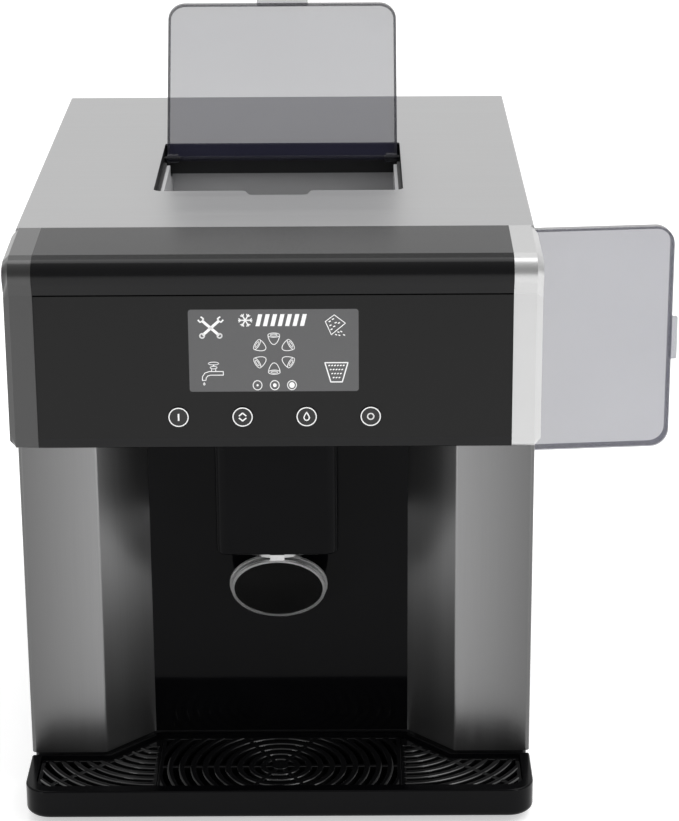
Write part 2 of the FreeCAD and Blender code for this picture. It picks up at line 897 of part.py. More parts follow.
def grille_bars(centre, angles, width):
    """Straight ribs through a point, at angles in plan."""
    bars = []
    for angle in angles:
        bar = box((-200, 200), (-width / 2, width / 2), (grille_bottom - 6, grille_top + 6))
        bar.rotate(Vector(0, 0, 0), Vector(0, 0, 1), angle)
        bar.translate(Vector(centre[0], centre[1], 0))
        bars.append(bar)
    return group(bars)


def centre_grille():
    half = centre_grille_width / 2
    rear = niche_y - 1 - tray_wall - running_gap
    front = front_y - tray_reach + tray_rim_front + running_gap
    plate = prism(rectangle((-half, half), (front, rear), 1), (grille_bottom, grille_top))
    slotted = rectangle((-half + 3, half - 3), (front + 3, rear - 3), 0)
    area = prism(slotted, (grille_bottom - 1, grille_top + 1))
    bars = grille_bars((0, ring_centre_y), (0, 60, 120), 3.2)
    return plate.cut(ring_slots((0, ring_centre_y), area, bars))


def wing_grille():
    inner_edge = centre_grille_width / 2 + running_gap
    mouth = tray_mouth(running_gap)
    outline = [
        (inner_edge, mouth[1][1], 0),
        (mouth[1][0], mouth[1][1], mouth[1][2]),
        mouth[2],
        mouth[3],
        mouth[4],
    ]
    outline = outline if mouth[4][0] <= inner_edge else outline + [(inner_edge, mouth[4][1], 0)]
    plate = prism(outline, (grille_bottom, grille_top))
    area = prism(inset(outline, 3.0), (grille_bottom - 1, grille_top + 1))
    bars = grille_bars(wing_ring_centre, (-42,), 3.2)
    return plate.cut(ring_slots(wing_ring_centre, area, bars))


# ---- Top opening: collar, lid and pins ----
def top_collar():
    """Black frame under the top panel, with lips for the lid and a ledge at its hinge."""
    wall = 3.0
    outer = prism(opening_outline(wall), (collar_bottom + 11, sheet_top))
    outer = outer.fuse(box(
        (-opening_half - wall, opening_half + wall),
        (opening_front - wall, opening_rear + wall),
        (collar_bottom, collar_bottom + 12),
    ))
    well = box(
        (-opening_half, opening_half),
        (opening_front, opening_rear),
        (collar_bottom - 1, sheet_top + 1),
    )
    frame = outer.cut(well)
    pocket = prism(opening_outline(0), (collar_bottom + 13.5, sheet_top + 1))
    frame = frame.cut(pocket)
    lip_top = top_pivot_z - 0.8
    lip_rear = top_pivot_y - 10
    pieces = [frame]
    for side in (-1, 1):
        x_span = (side * (opening_half - liner_wall), side * (opening_half + 0.5))
        pieces.append(box(x_span, (opening_front - 0.5, lip_rear), (collar_bottom, lip_top)))
    x_span = (-opening_half - 0.5, opening_half + 0.5)
    lip_z_span = (collar_bottom, collar_bottom + 13.5)
    pieces.append(box(x_span, (opening_front - 0.5, opening_front + 2), lip_z_span))
    ledge = box(x_span, (top_pivot_y + 8, opening_rear + 0.5), (collar_bottom + 2, top_pivot_z - 2))
    pieces.append(ledge)
    collar = join(pieces)
    for side in (-1, 1):
        collar = collar.cut(top_pin(side, pin_radius))
    return collar


def top_pin(side, radius):
    return rod(
        (side * (opening_half - 12), top_pivot_y, top_pivot_z),
        (side * (opening_half + 2.5), top_pivot_y, top_pivot_z),
        radius,
    )


def shallow_lid(outline, plate_span, skirt_span, tab, extrude, fold):
    """Clear lid: a plate with a skirt round its edge and a finger tab."""
    plate = extrude(outline, plate_span)
    skirt = extrude(outline, skirt_span).cut(extrude(inset(outline, lid_skirt_wall), skirt_span))
    return join([plate, skirt, tab, fold])


def top_lid():
    half = opening_half - top_lid_side_gap
    hinge_edge = top_pivot_y
    free_edge = top_pivot_y - top_lid_length
    outline = [
        (-half, free_edge, lid_corner),
        (half, free_edge, lid_corner),
        (half, hinge_edge, 0),
        (-half, hinge_edge, 0),
    ]
    top = top_pivot_z + top_lid_rise
    tab = prism(
        rectangle((-top_tab_width / 2, top_tab_width / 2), (free_edge - top_tab_reach, free_edge + 3), 1.2),
        (top - lid_plate, top),
    )
    ears = []
    for side in (-1, 1):
        x_span = (side * (half - 9), side * half)
        ears.append(rod((x_span[0], top_pivot_y, top_pivot_z), (x_span[1], top_pivot_y, top_pivot_z), 4.0))
        ears.append(box(x_span, (top_pivot_y - 4, top_pivot_y), (top_pivot_z, top - 1)))
    lid = shallow_lid(outline, (top - lid_plate, top), (top_pivot_z + 0.5, top), tab, prism, join(ears))
    for side in (-1, 1):
        lid = lid.cut(top_pin(side, pin_radius + pin_clearance))
    lid.rotate(Vector(0, top_pivot_y, top_pivot_z), Vector(1, 0, 0), -top_lid_open)
    return lid


# ---- Side opening: collar, lid and pins ----
def side_collar():
    wall = 2.0
    inner_x = half_width - sheet
    outer = prism_x(side_opening_outline(wall), (side_collar_x, inner_x))
    tab_low = side_mid_z - side_tab_height / 2 - 3
    tab_high = side_mid_z + side_tab_height / 2 + 3
    tab_rear = side_open_rear + side_tab_reach + 3
    tab_case = box(
        (side_collar_x + 2, inner_x),
        (side_open_rear - 1, tab_rear + wall),
        (tab_low - wall, tab_high + wall),
    )
    outer = outer.fuse(tab_case)
    pocket = prism_x(side_opening_outline(0), (side_collar_x + 1.5, inner_x + 1))
    mouth = prism_x(
        rectangle((side_open_front + 9, side_open_rear - 6), (side_open_bottom + 7, side_open_top - 7), 4),
        (side_collar_x - 1, inner_x + 1),
    )
    tab_pocket = box((side_collar_x + 4, inner_x + 1), (side_open_rear - 2, tab_rear), (tab_low, tab_high))
    collar = outer.cut(pocket).cut(mouth).cut(tab_pocket)
    for pin in side_pins(pin_radius):
        collar = collar.cut(pin)
    return collar


def side_pins(radius):
    length = 11.0
    low = side_open_bottom - 2.0
    high = side_open_top + 2.0
    return [
        rod((side_pivot_x, side_pivot_y, low), (side_pivot_x, side_pivot_y, low + length), radius),
        rod((side_pivot_x, side_pivot_y, high - length), (side_pivot_x, side_pivot_y, high), radius),
    ]


def hinge_pins():
    pins = [top_pin(side, pin_radius) for side in (-1, 1)] + side_pins(pin_radius)
    pins.append(rod((-12, pivot_y, pivot_z), (12, pivot_y, pivot_z), pin_radius))
    return group(pins)


def side_lid():
    far = side_pivot_y + side_lid_length
    outline = [
        (side_pivot_y, side_lid_bottom, 0),
        (far, side_lid_bottom, lid_corner),
        (far, side_lid_top, lid_corner),
        (side_pivot_y, side_lid_top, 0),
    ]
    plate_span = (half_width - lid_plate, half_width)
    skirt_span = (half_width - side_lid_skirt, half_width)
    tab = prism_x(
        rectangle(
            (far - 3, far + side_tab_reach),
            (side_mid_z - side_tab_height / 2, side_mid_z + side_tab_height / 2),
            1.2,
        ),
        plate_span,
    )
    knuckle = rod(
        (side_pivot_x, side_pivot_y, side_lid_bottom),
        (side_pivot_x, side_pivot_y, side_lid_top),
        knuckle_radius,
    )
    lid = shallow_lid(outline, plate_span, skirt_span, tab, prism_x, knuckle)
    for pin in side_pins(pin_radius + pin_clearance):
        lid = lid.cut(pin)
    lid.rotate(Vector(side_pivot_x, side_pivot_y, 0), Vector(0, 0, 1), -side_lid_open)
    return lid


# ---- Ice compartment ----
def inner_liner():
    outer = box(
        (-liner_half - liner_wall, liner_half + liner_wall),
        (liner_front - liner_wall, opening_rear + liner_wall),
        (liner_floor_z, collar_bottom),
    )
    inner = box(
        (-liner_half, liner_half),
        (liner_front, opening_rear),
        (liner_floor_z + liner_wall, collar_bottom + 1),
    )
    liner = outer.cut(inner)
    rails = [liner]
    for side in (-1, 1):
        rails.append(box(
            (side * liner_half, side * (liner_half + liner_wall)),
            (opening_front + 2.3, top_pivot_y - 10),
            (collar_bottom - 1, top_pivot_z - 3),
        ))
    liner = join(rails)
    return liner.cut(trough_shaft(pin_radius * 2 + 0.01))


def insulation():
    outer = box(
        (-liner_half - liner_wall - foam_thickness, liner_half + liner_wall + foam_thickness),
        (liner_front - liner_wall - foam_thickness, opening_rear + liner_wall + foam_thickness),
        (foam_bottom, trough_z - 30),
    )
    inner = box(
        (-liner_half - liner_wall, liner_half + liner_wall),
        (liner_front - liner_wall, opening_rear + liner_wall),
        (liner_floor_z, trough_z),
    )
    return outer.cut(inner)


def support_shelf():
    shelf = box(
        (-half_width + sheet, half_width - sheet),
        (liner_front - liner_wall - foam_thickness, opening_rear + 26),
        (foam_bottom - shelf_thickness, foam_bottom),
    )
    tank_gap = box(
        (tank_inner_x - 1, half_width),
        (tank_front_y - 1, tank_rear_y + 1),
        (foam_bottom - shelf_thickness - 1, foam_bottom + 1),
    )
    return shelf.cut(tank_gap)


def ice_basket():
    """Open basket with slotted walls and a low rear edge under the ice slide."""
    top = basket_bottom + basket_height
    outline = rectangle((-basket_half, basket_half), (basket_front, basket_rear), 8)
    shell = prism(outline, (basket_bottom, top))
    shell = shell.cut(prism(inset(outline, basket_wall), (basket_bottom + basket_wall, top + 1)))
    low_edge = box(
        (-basket_half - 1, basket_half + 1),
        (basket_rear - 12, basket_rear + 1),
        (slide_low - 6, top + 1),
    )
    shell = shell.cut(low_edge)
    cuts = []
    for index in range(9):
        x = (index - 4) * 16.0
        for row in range(3):
            z = basket_bottom + 14 + row * 24
            slot = rectangle((x - 2.5, x + 2.5), (z, z + 16), 2.4)
            cuts.append(prism_y(slot, (basket_front - 1, basket_rear + 1)))
    for index in range(3):
        y = basket_front + 20 + index * 18
        drain = rectangle((-basket_half + 20, basket_half - 20), (y - 2, y + 2), 1.9)
        cuts.append(prism(drain, (basket_bottom - 1, basket_bottom + basket_wall + 1)))
    return shell.cut(group(cuts))


def ice_slide():
    """Sloping plate that carries the ice from the trough to the basket."""
    path = [(basket_rear + slide_gap, slide_low, 0), (opening_rear - 0.6, slide_high, 0)]
    return prism_x(bent_sheet(path, -2), (-liner_half, liner_half))


def trough_shaft(radius):
    reach = liner_half + liner_wall + 4
    return rod((-reach, trough_y, trough_z), (reach, trough_y, trough_z), radius)


def water_tray():
    """Tipping trough round the freezing fingers, with an end plate and a stub shaft at each end."""
    half = trough_length / 2
    axis_low = (-half, trough_y, trough_z)
    axis_high = (half, trough_y, trough_z)
    shell = rod(axis_low, axis_high, trough_radius)
    hollow = rod((-half + 2, trough_y, trough_z), (half - 2, trough_y, trough_z), trough_radius - trough_wall)
    shell = shell.cut(hollow)
    upper = box(
        (-half - 1, half + 1),
        (trough_y - 40, trough_y + 40),
        (trough_z - trough_radius * math.sin(math.radians(20)), trough_z + 40),
    )
    shell = shell.cut(upper)
    pieces = [shell]
    reach = liner_half + liner_wall + 2
    for side in (-1, 1):
        cheek = rod((side * (half - 2), trough_y, trough_z), (side * half, trough_y, trough_z), trough_radius)
        trim = box((-half - 1, half + 1), (trough_y - 40, trough_y + 40), (trough_z + 6, trough_z + 40))
        pieces.append(cheek.cut(trim))
        inner_end = (side * (half - 1), trough_y, trough_z)
        shaft = rod(inner_end, (side * reach, trough_y, trough_z), pin_radius * 2 - 0.04)
        pieces.append(shaft)
    return join(pieces)


def evaporator():
    """Cooled manifold bar with two rows of freezing fingers, hung from the rear wall."""
    bar_low = trough_z + 16
    bar = box((-62, 62), (trough_y - 12, trough_y + 12), (bar_low, bar_low + 8))
    pieces = [bar]
    for row in (-1, 1):
        for index in range(finger_count):
            x = (index - (finger_count - 1) / 2) * finger_pitch
            y = trough_y + row * finger_row_offset
            shank = rod((x, y, bar_low - finger_length + finger_radius), (x, y, bar_low + 1), finger_radius)
            tip = Part.makeSphere(finger_radius, Vector(x, y, bar_low - finger_length + finger_radius))
            pieces.append(shank.fuse(tip))
    for side in (-1, 1):
        x_span = (side * 40, side * 48)
        pieces.append(box(x_span, (trough_y + 10, opening_rear), (bar_low + 4, bar_low + 8)))
    return join(pieces)


def tray_motor():
    """Geared motor outside the liner that tips the trough."""
    wall_x = liner_half + liner_wall
    case = box((wall_x, wall_x + 9), (trough_y - 14, trough_y + 14), (trough_z - 16, trough_z + 16))
    can = rod((wall_x + 9, trough_y + 2, trough_z), (wall_x + 26, trough_y + 2, trough_z), 11)
    motor = join([case, can])
    return motor.cut(trough_shaft(pin_radius * 2 + 0.3))


# ---- Water side ----
def fill_bay():
    """White box behind the side opening; its floor opens into the tank."""
    y_span = (tank_front_y, tank_rear_y)
    low = side_open_bottom + 5.0
    high = side_open_top - 5.0
    outer = box((tank_inner_x, side_collar_x), y_span, (low, high))
    inner = box(
        (tank_inner_x + 2, side_collar_x + 1),
        (side_open_front + 9, side_open_rear - 6),
        (low + 2, high - 2),
    )
    mouth = box(
        (tank_inner_x + 6, side_collar_x - 6),
        (side_open_front + 11, side_open_rear - 8),
        (low - 1, low + 3),
    )
    return outer.cut(inner).cut(mouth)


def water_tank():
    y_span = (tank_front_y, tank_rear_y)
    high = side_open_bottom + 5.0
    outer = box((tank_inner_x, tank_outer_x), y_span, (pan_floor, high))
    inner = box(
        (tank_inner_x + moulding, tank_outer_x - moulding),
        (tank_front_y + moulding, tank_rear_y - moulding),
        (pan_floor + moulding, high + 1),
    )
    return outer.cut(inner)


def pump_places():
    return [(48.0, tank_front_y + 22.0), (-12.0, tank_front_y + 22.0)]


def water_pumps():
    """Circulation pump and dispensing pump, on the base pan."""
    pumps = []
    for x, y in pump_places():
        body = rod((x, y, pan_floor), (x, y, pan_floor + pump_height), pump_radius)
        flange = rod((x, y, pan_floor), (x, y, pan_floor + 6), pump_radius + 4)
        port = rod((x, y, pan_floor + pump_height), (x, y, pan_floor + pump_height + 8), tube_radius - 1)
        pumps.append(join([body, flange, port]))
    return group(pumps)


def water_tubes():
    """Silicone tubes: tank to each pump, pump to nozzle and pump to trough."""
    top = pan_floor + pump_height + 8
    (first_x, first_y), (second_x, second_y) = pump_places()
    nozzle_y = niche_y + 14
    rise = head_bottom - 35
    dispense = tube(
        [
            (second_x, second_y, top),
            (second_x, second_y, rise - 30),
            (second_x, nozzle_y, rise),
            (second_x, niche_y - 18, rise),
        ],
        tube_radius - 1,
        8,
    )
    feed = tube(
        [
            (first_x, first_y, top),
            (first_x, first_y, top + 40),
            (first_x, liner_front - 20, top + 60),
            (first_x, liner_front - 20, trough_z - 20),
        ],
        tube_radius - 1,
        8,
    )
    return group([dispense, feed])


def drain_spigot():
    """Drain outlet through the rear panel, with a short plain end for a hose."""
    start = rear_y - 26
    end = rear_y + spigot_reach
    body = rod((spigot_x, start, spigot_z), (spigot_x, rear_y, spigot_z), spigot_shoulder)
    hose_end = rod((spigot_x, rear_y - 1, spigot_z), (spigot_x, end, spigot_z), spigot_radius)
    panel_y = rear_y - sheet
    flange = rod((spigot_x, panel_y - 3, spigot_z), (spigot_x, panel_y, spigot_z), spigot_shoulder + 3)
    bore = rod((spigot_x, start + 3, spigot_z), (spigot_x, end + 1, spigot_z), spigot_bore)
    leg = box((spigot_x - 5, spigot_x + 5), (start, start + 8), (pan_floor, spigot_z - 4))
    return join([body, hose_end, flange, leg]).cut(bore)


def drain_plug():
    end = rear_y + spigot_reach
    plug_radius = spigot_bore - pin_clearance
    stopper = rod((spigot_x, end - plug_length, spigot_z), (spigot_x, end, spigot_z), plug_radius)
    grip = rod((spigot_x, end + running_gap, spigot_z), (spigot_x, end + 3, spigot_z), spigot_radius - 0.5)
    neck = rod((spigot_x, end - 1, spigot_z), (spigot_x, end + 1, spigot_z), spigot_bore - 0.5)
    return join([stopper, neck, grip])


# ---- Refrigeration and electrics ----
def compressor_leg_places():
    reach = compressor_radius - 6
    turns = [math.radians(angle) for angle in (90, 210, 330)]
    return [
        (compressor_x + reach * math.cos(turn), compressor_y + reach * math.sin(turn))
        for turn in turns
    ]


def compressor():
    low = pan_floor + 12
    base = Vector(compressor_x, compressor_y, low)
    shell = Part.makeCylinder(compressor_radius - 12, compressor_height, base)
    rims = edges_where(shell, lambda p: p.z > low + 1 or p.z < low + 0.01)
    circles = [edge for edge in rims if len(edge.Vertexes) == 1]
    shell = shell.makeFillet(16.0, circles)
    plate = Part.makeCylinder(compressor_radius, 3, Vector(compressor_x, compressor_y, low - 3))
    terminal = box(
        (compressor_x + compressor_radius - 16, compressor_x + compressor_radius - 2),
        (compressor_y - 14, compressor_y + 14),
        (low + 40, low + 75),
    )
    return join([shell, plate, terminal])


def compressor_grommets():
    return group([rod((x, y, pan_floor), (x, y, pan_floor + 9), 7.0) for x, y in compressor_leg_places()])


def condenser():
    """Finned block between two end plates, standing on the base pan."""
    low = fan_z - condenser_height / 2
    half = condenser_width / 2
    y_span = (condenser_front, condenser_rear)
    pieces = []
    fin_count = 24
    for index in range(fin_count + 1):
        x = condenser_x - half + 1 + index * (condenser_width - 2) / fin_count
        pieces.append(box((x - 0.6, x + 0.6), y_span, (low, low + condenser_height)))
    for row in range(6):
        z = low + 14 + row * (condenser_height - 28) / 5
        y = (condenser_front + condenser_rear) / 2
        pieces.append(rod((condenser_x - half, y, z), (condenser_x + half, y, z), pipe_radius))
    for side in (-1, 1):
        x = condenser_x + side * (half - 6)
        pieces.append(box((x - 6, x + 6), y_span, (pan_floor, low + 2)))
    return join(pieces)


def fan_shroud():
    half_w = condenser_width / 2
    low = fan_z - condenser_height / 2
    plate = box(
        (condenser_x - half_w, condenser_x + half_w),
        (shroud_rear - 2, shroud_rear),
        (low, low + condenser_height),
    )
    mouth = fan_radius + fan_tip_gap
    ring = rod((condenser_x, shroud_front, fan_z), (condenser_x, shroud_rear, fan_z), mouth + 2)
    whole = join([plate, ring])
    bore = rod((condenser_x, shroud_front - 1, fan_z), (condenser_x, shroud_rear + 1, fan_z), mouth)
    whole = whole.cut(bore)
    arms = []
    for angle in (45, 135, 225, 315):
        turn = math.radians(angle)
        inner = (condenser_x + 20 * math.cos(turn), shroud_front - 1.5, fan_z + 20 * math.sin(turn))
        outer = (
            condenser_x + (mouth + 1) * math.cos(turn),
            shroud_front - 1.5,
            fan_z + (mouth + 1) * math.sin(turn),
        )
        arms.append(rod(inner, outer, 2.5))
    hub = rod((condenser_x, shroud_front - 6, fan_z), (condenser_x, shroud_front - 1, fan_z), motor_radius)
    hub = hub.cut(rod((condenser_x, shroud_front - 7, fan_z), (condenser_x, shroud_front, fan_z), 8.0))
    return join([whole, hub] + arms)


def fan_motor():
    rear = shroud_front - 6
    can = rod((condenser_x, rear - motor_length, fan_z), (condenser_x, rear, fan_z), motor_radius)
    nose = rod((condenser_x, rear - 1, fan_z), (condenser_x, rear + 4.7, fan_z), 7.7)
    shaft = rod((condenser_x, rear, fan_z), (condenser_x, shroud_front + fan_depth, fan_z), 2.5)
    return join([can, nose, shaft])


def fan_blades():
    """Hub with twisted blades, running on the motor shaft."""
    front = shroud_front + 2
    rear = front + fan_depth - 2
    hub = rod((condenser_x, front, fan_z), (condenser_x, rear, fan_z), fan_hub_radius)
    pieces = [hub]
    for index in range(fan_blade_count):
        blade = box((fan_hub_radius - 2, fan_radius - 1), (-0.9, 0.9), (-11, 11))
        blade.rotate(Vector(0, 0, 0), Vector(1, 0, 0), 60)
        blade.translate(Vector(0, (front + rear) / 2, 0))
        blade.rotate(Vector(0, 0, 0), Vector(0, 1, 0), index * 360.0 / fan_blade_count)
        blade.translate(Vector(condenser_x, 0, fan_z))
        pieces.append(blade)
    whole = join(pieces)
    envelope = rod((condenser_x, front, fan_z), (condenser_x, rear, fan_z), fan_radius)
    whole = whole.common(envelope)
    bore = rod((condenser_x, front - 1, fan_z), (condenser_x, rear + 1, fan_z), 2.5 + pin_clearance)
    return whole.cut(bore)


def filter_drier():
    low = pan_floor + 40
    x = spigot_x - 2
    y = compressor_y - 70
    body = rod((x, y, low), (x, y, low + 70), 9)
    ends = [
        Part.makeCone(9, pipe_radius, 12, Vector(x, y, low + 70)),
        Part.makeCone(pipe_radius, 9, 12, Vector(x, y, low - 12)),
    ]
    clip = box((x - 12, x + 12), (y - 1, y + 1), (pan_floor, low + 20))
    return join([body, clip] + ends)


def refrigerant_pipes():
    """Copper pipes: compressor to condenser, drier to evaporator and back."""
    x = spigot_x - 2
    y = compressor_y - 70
    dome = pan_floor + 12 + compressor_height
    low = fan_z - condenser_height / 2
    half = condenser_width / 2
    discharge = tube(
        [
            (compressor_x + 10, compressor_y, dome),
            (compressor_x + 10, compressor_y, dome + 14),
            (compressor_x + 10, condenser_front - 26, dome + 14),
            (condenser_x - half - 14, condenser_front - 26, dome + 14),
            (condenser_x - half - 14, condenser_front + 11, low + condenser_height - 14),
            (condenser_x - half, condenser_front + 11, low + condenser_height - 14),
        ],
        pipe_radius - 0.5,
        5,
    )
    suction_top = foam_bottom - shelf_thickness - 10
    liquid = tube(
        [
            (x, y, pan_floor + 40 + 82),
            (x, y, suction_top),
            (x, opening_rear + 34, suction_top),
            (x, opening_rear + 34, trough_z + 20),
            (x, opening_rear + liner_wall, trough_z + 20),
        ],
        pipe_radius - 0.5,
        5,
    )
    return group([discharge, liquid])


def main_board():
    """Power and control board on four posts from the rear panel."""
    y = rear_y - sheet - 14
    z_mid = trough_z - 30
    board = box((compressor_x - 60, compressor_x + 60), (y - 1.6, y), (z_mid - 45, z_mid + 45))
    pieces = [board]
    for x in (compressor_x - 52, compressor_x + 52):
        for z in (z_mid - 38, z_mid + 38):
            pieces.append(rod((x, y - 1, z), (x, rear_y - sheet, z), 3.5))
    pieces.append(box((compressor_x - 45, compressor_x - 15), (y - 26, y - 1), (z_mid - 30, z_mid + 5)))
    pieces.append(box((compressor_x + 5, compressor_x + 25), (y - 17, y - 1), (z_mid - 10, z_mid + 25)))
    pieces.append(rod((compressor_x + 40, y - 20, z_mid - 20), (compressor_x + 40, y - 1, z_mid - 20), 8))
    return join(pieces)


def power_inlet():
    """Three-pin appliance inlet in the rear panel."""
    shell = box((inlet_x - 14, inlet_x + 14), (rear_y - 24, rear_y + 1.5), (inlet_z - 10, inlet_z + 10))
    flange = prism_y(
        rectangle((inlet_x - 25, inlet_x + 25), (inlet_z - 12, inlet_z + 12), 4),
        (rear_y, rear_y + 2.5),
    )
    socket = prism_y(
        rectangle((inlet_x - 12, inlet_x + 12), (inlet_z - 8, inlet_z + 8), 3),
        (rear_y - 16, rear_y + 4),
    )
    whole = join([shell, flange]).cut(socket)
    pins = []
    for x, z in ((inlet_x - 7, inlet_z - 1), (inlet_x + 7, inlet_z - 1), (inlet_x, inlet_z + 3)):
        pins.append(box((x - 1, x + 1), (rear_y - 17, rear_y - 2), (z - 2, z + 2)))
    return join([whole] + pins)


# ---- Write every node ----
save("base_pan", base_pan())
save("rubber_feet", rubber_feet())
save("right_column", column())
save("left_column", mirrored(column()))
save("niche_wall", niche_wall())
save("left_side_panel", left_side_panel())
save("right_side_panel", right_side_panel())
save("top_panel", top_panel())
save("rear_panel", rear_panel())
save("cabinet_screws", cabinet_screws())
save("head_housing", head_housing())
save("control_glass", control_glass())
save("display_window", display_window())
save("display_board", display_board())
for name, x in zip(("power_on", "select", "water", "power_off"), button_places()):
    save(f"{name}_button", button(x))
save("head_bottom_trim", head_bottom_trim())
save("right_end_cap", end_cap())
save("left_end_cap", mirrored(end_cap()))
save("spout_housing", spout_housing())
save("spout_collar", spout_collar())
save("water_nozzle", water_nozzle())
save("paddle_plate", paddle_plate())
save("paddle_rims", paddle_rims())
save("paddle_arm", paddle_arm())
save("paddle_switch", paddle_switch())
save("drip_tray", drip_tray())
save("centre_grille", centre_grille())
save("wing_grilles", group([wing_grille(), mirrored(wing_grille())]))
save("top_collar", top_collar())
save("top_lid", top_lid())
save("side_collar", side_collar())
save("side_lid", side_lid())
save("hinge_pins", hinge_pins())
save("inner_liner", inner_liner())
save("insulation", insulation())
save("support_shelf", support_shelf())
save("ice_basket", ice_basket())
save("ice_slide", ice_slide())
save("water_tray", water_tray())
save("evaporator", evaporator())
save("tray_motor", tray_motor())
save("fill_bay", fill_bay())
save("water_tank", water_tank())
save("water_pumps", water_pumps())
save("water_tubes", water_tubes())
save("drain_spigot", drain_spigot())
save("drain_plug", drain_plug())
save("compressor", compressor())
save("compressor_grommets", compressor_grommets())
save("condenser", condenser())
save("fan_shroud", fan_shroud())
save("fan_motor", fan_motor())
save("fan_blades", fan_blades())
save("filter_drier", filter_drier())
save("refrigerant_pipes", refrigerant_pipes())
save("main_board", main_board())
save("power_inlet", power_inlet())
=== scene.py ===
import json
import math

import bmesh
import bpy
from mathutils import Matrix, Vector


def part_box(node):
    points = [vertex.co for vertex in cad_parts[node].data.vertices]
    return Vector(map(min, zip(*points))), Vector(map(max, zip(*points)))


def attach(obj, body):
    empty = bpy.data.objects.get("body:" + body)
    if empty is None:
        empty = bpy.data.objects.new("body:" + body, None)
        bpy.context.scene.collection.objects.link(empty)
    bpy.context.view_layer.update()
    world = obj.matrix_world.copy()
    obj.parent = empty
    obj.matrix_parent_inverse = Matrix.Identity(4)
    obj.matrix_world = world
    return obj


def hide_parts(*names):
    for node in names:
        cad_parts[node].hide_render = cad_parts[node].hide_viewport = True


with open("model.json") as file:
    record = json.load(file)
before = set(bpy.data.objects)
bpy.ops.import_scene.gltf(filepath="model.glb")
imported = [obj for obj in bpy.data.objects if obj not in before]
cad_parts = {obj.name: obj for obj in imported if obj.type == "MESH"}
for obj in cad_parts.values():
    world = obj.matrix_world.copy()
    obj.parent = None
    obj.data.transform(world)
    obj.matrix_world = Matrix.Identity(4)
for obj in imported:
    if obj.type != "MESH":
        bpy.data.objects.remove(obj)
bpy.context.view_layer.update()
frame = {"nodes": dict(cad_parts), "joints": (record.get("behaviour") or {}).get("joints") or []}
nodes = frame["nodes"]
mm = 0.001


# ---- Base pan and feet ----
# The machine stands on a moulded pan of black polypropylene, spark-eroded to a fine even texture.
# Four soft rubber feet are pressed into it.
class Value:
    """A socket in a finish, so that shader sums are written as Python expressions."""

    def __init__(self, finish, socket):
        self.finish = finish
        self.socket = socket

    def sum_of(self, operation, first, second):
        return self.finish.node("ShaderNodeMath", {"operation": operation}, {0: first, 1: second})

    def __add__(self, other):
        return self.sum_of("ADD", self, other)

    def __radd__(self, other):
        return self.sum_of("ADD", other, self)

    def __mul__(self, other):
        return self.sum_of("MULTIPLY", self, other)

    def __rmul__(self, other):
        return self.sum_of("MULTIPLY", other, self)


class Nodes:
    """A node tree, and the one way that nodes are added to it."""

    def __init__(self, tree):
        self.tree = tree

    def node(self, kind, settings, sockets, output=0):
        made = self.tree.nodes.new(kind)
        for name, value in settings.items():
            setattr(made, name, value)
        for name, value in sockets.items():
            self.feed(made.inputs[name], value)
        return Value(self, made.outputs[output])

    def feed(self, socket, value):
        if isinstance(value, Value):
            self.tree.links.new(value.socket, socket)
        else:
            socket.default_value = value

    def place(self, scale):
        """Place on the piece in metres, times a scale on each axis."""
        there = self.node("ShaderNodeTexCoord", {}, {}, "Object")
        return self.node("ShaderNodeVectorMath", {"operation": "MULTIPLY"}, {0: there, 1: scale})

    def noise(self, scale, detail=2.0):
        """Even noise from 0 to 1, with its own scale on each axis."""
        sockets = {"Vector": self.place(scale), "Scale": 1.0, "Detail": detail}
        return self.node("ShaderNodeTexNoise", {}, sockets, 0)

    def spread(self, value, low, high, start=0.0, end=1.0):
        """A value brought from one range into another, and held inside it."""
        sockets = {0: value, 1: low, 2: high, 3: start, 4: end}
        return self.node("ShaderNodeMapRange", {"clamp": True}, sockets)

    def colours(self, share, first, second):
        return self.node("ShaderNodeMix", {"data_type": "RGBA"}, {0: share, 6: first, 7: second}, 2)

    def along(self, axis):
        """Place on the piece in metres, along one axis."""
        return self.node("ShaderNodeSeparateXYZ", {}, {"Vector": self.place((1, 1, 1))}, axis)


class Finish(Nodes):
    """One finish: a Principled shader and the nodes that feed it."""

    def __init__(self, name, settings):
        self.material = bpy.data.materials.new(name)
        self.material.use_nodes = True
        super().__init__(self.material.node_tree)
        self.shader = self.tree.nodes["Principled BSDF"]
        for socket, value in settings.items():
            self.shader.inputs[socket].default_value = value

    def bump(self, height, distance, strength=1.0):
        sockets = {"Height": height, "Distance": distance, "Strength": strength}
        self.feed(self.shader.inputs["Normal"], self.node("ShaderNodeBump", {}, sockets))


def grey(level):
    return (level, level, level, 1.0)


def moulded(name, colour, roughness, grain, depth, specular=0.5):
    """Moulded plastic: fine erosion texture, with soft variation in colour and sheen."""
    finish = Finish(name, {"Specular IOR Level": specular})
    speckle = finish.noise((grain, grain, grain), 3.0)
    cloud = finish.noise((9, 9, 9))
    darker = tuple(0.82 * part for part in colour[:3]) + (1.0,)
    finish.feed(finish.shader.inputs["Base Color"], finish.colours(cloud, darker, colour))
    finish.feed(finish.shader.inputs["Roughness"], roughness - 0.06 + 0.12 * speckle)
    finish.bump(speckle, depth)
    return finish


def dress(finish, *names):
    """Give CAD nodes one finish."""
    for name in names:
        for slot in nodes[name].material_slots:
            slot.material = finish.material


black_pan = moulded("black_polypropylene", (0.014, 0.014, 0.015, 1), 0.42, 2600, 0.00004, 0.35)
rubber = moulded("soft_rubber", (0.03, 0.03, 0.03, 1), 0.75, 1500, 0.00005, 0.3)
dress(black_pan, "base_pan")
dress(rubber, "rubber_feet")


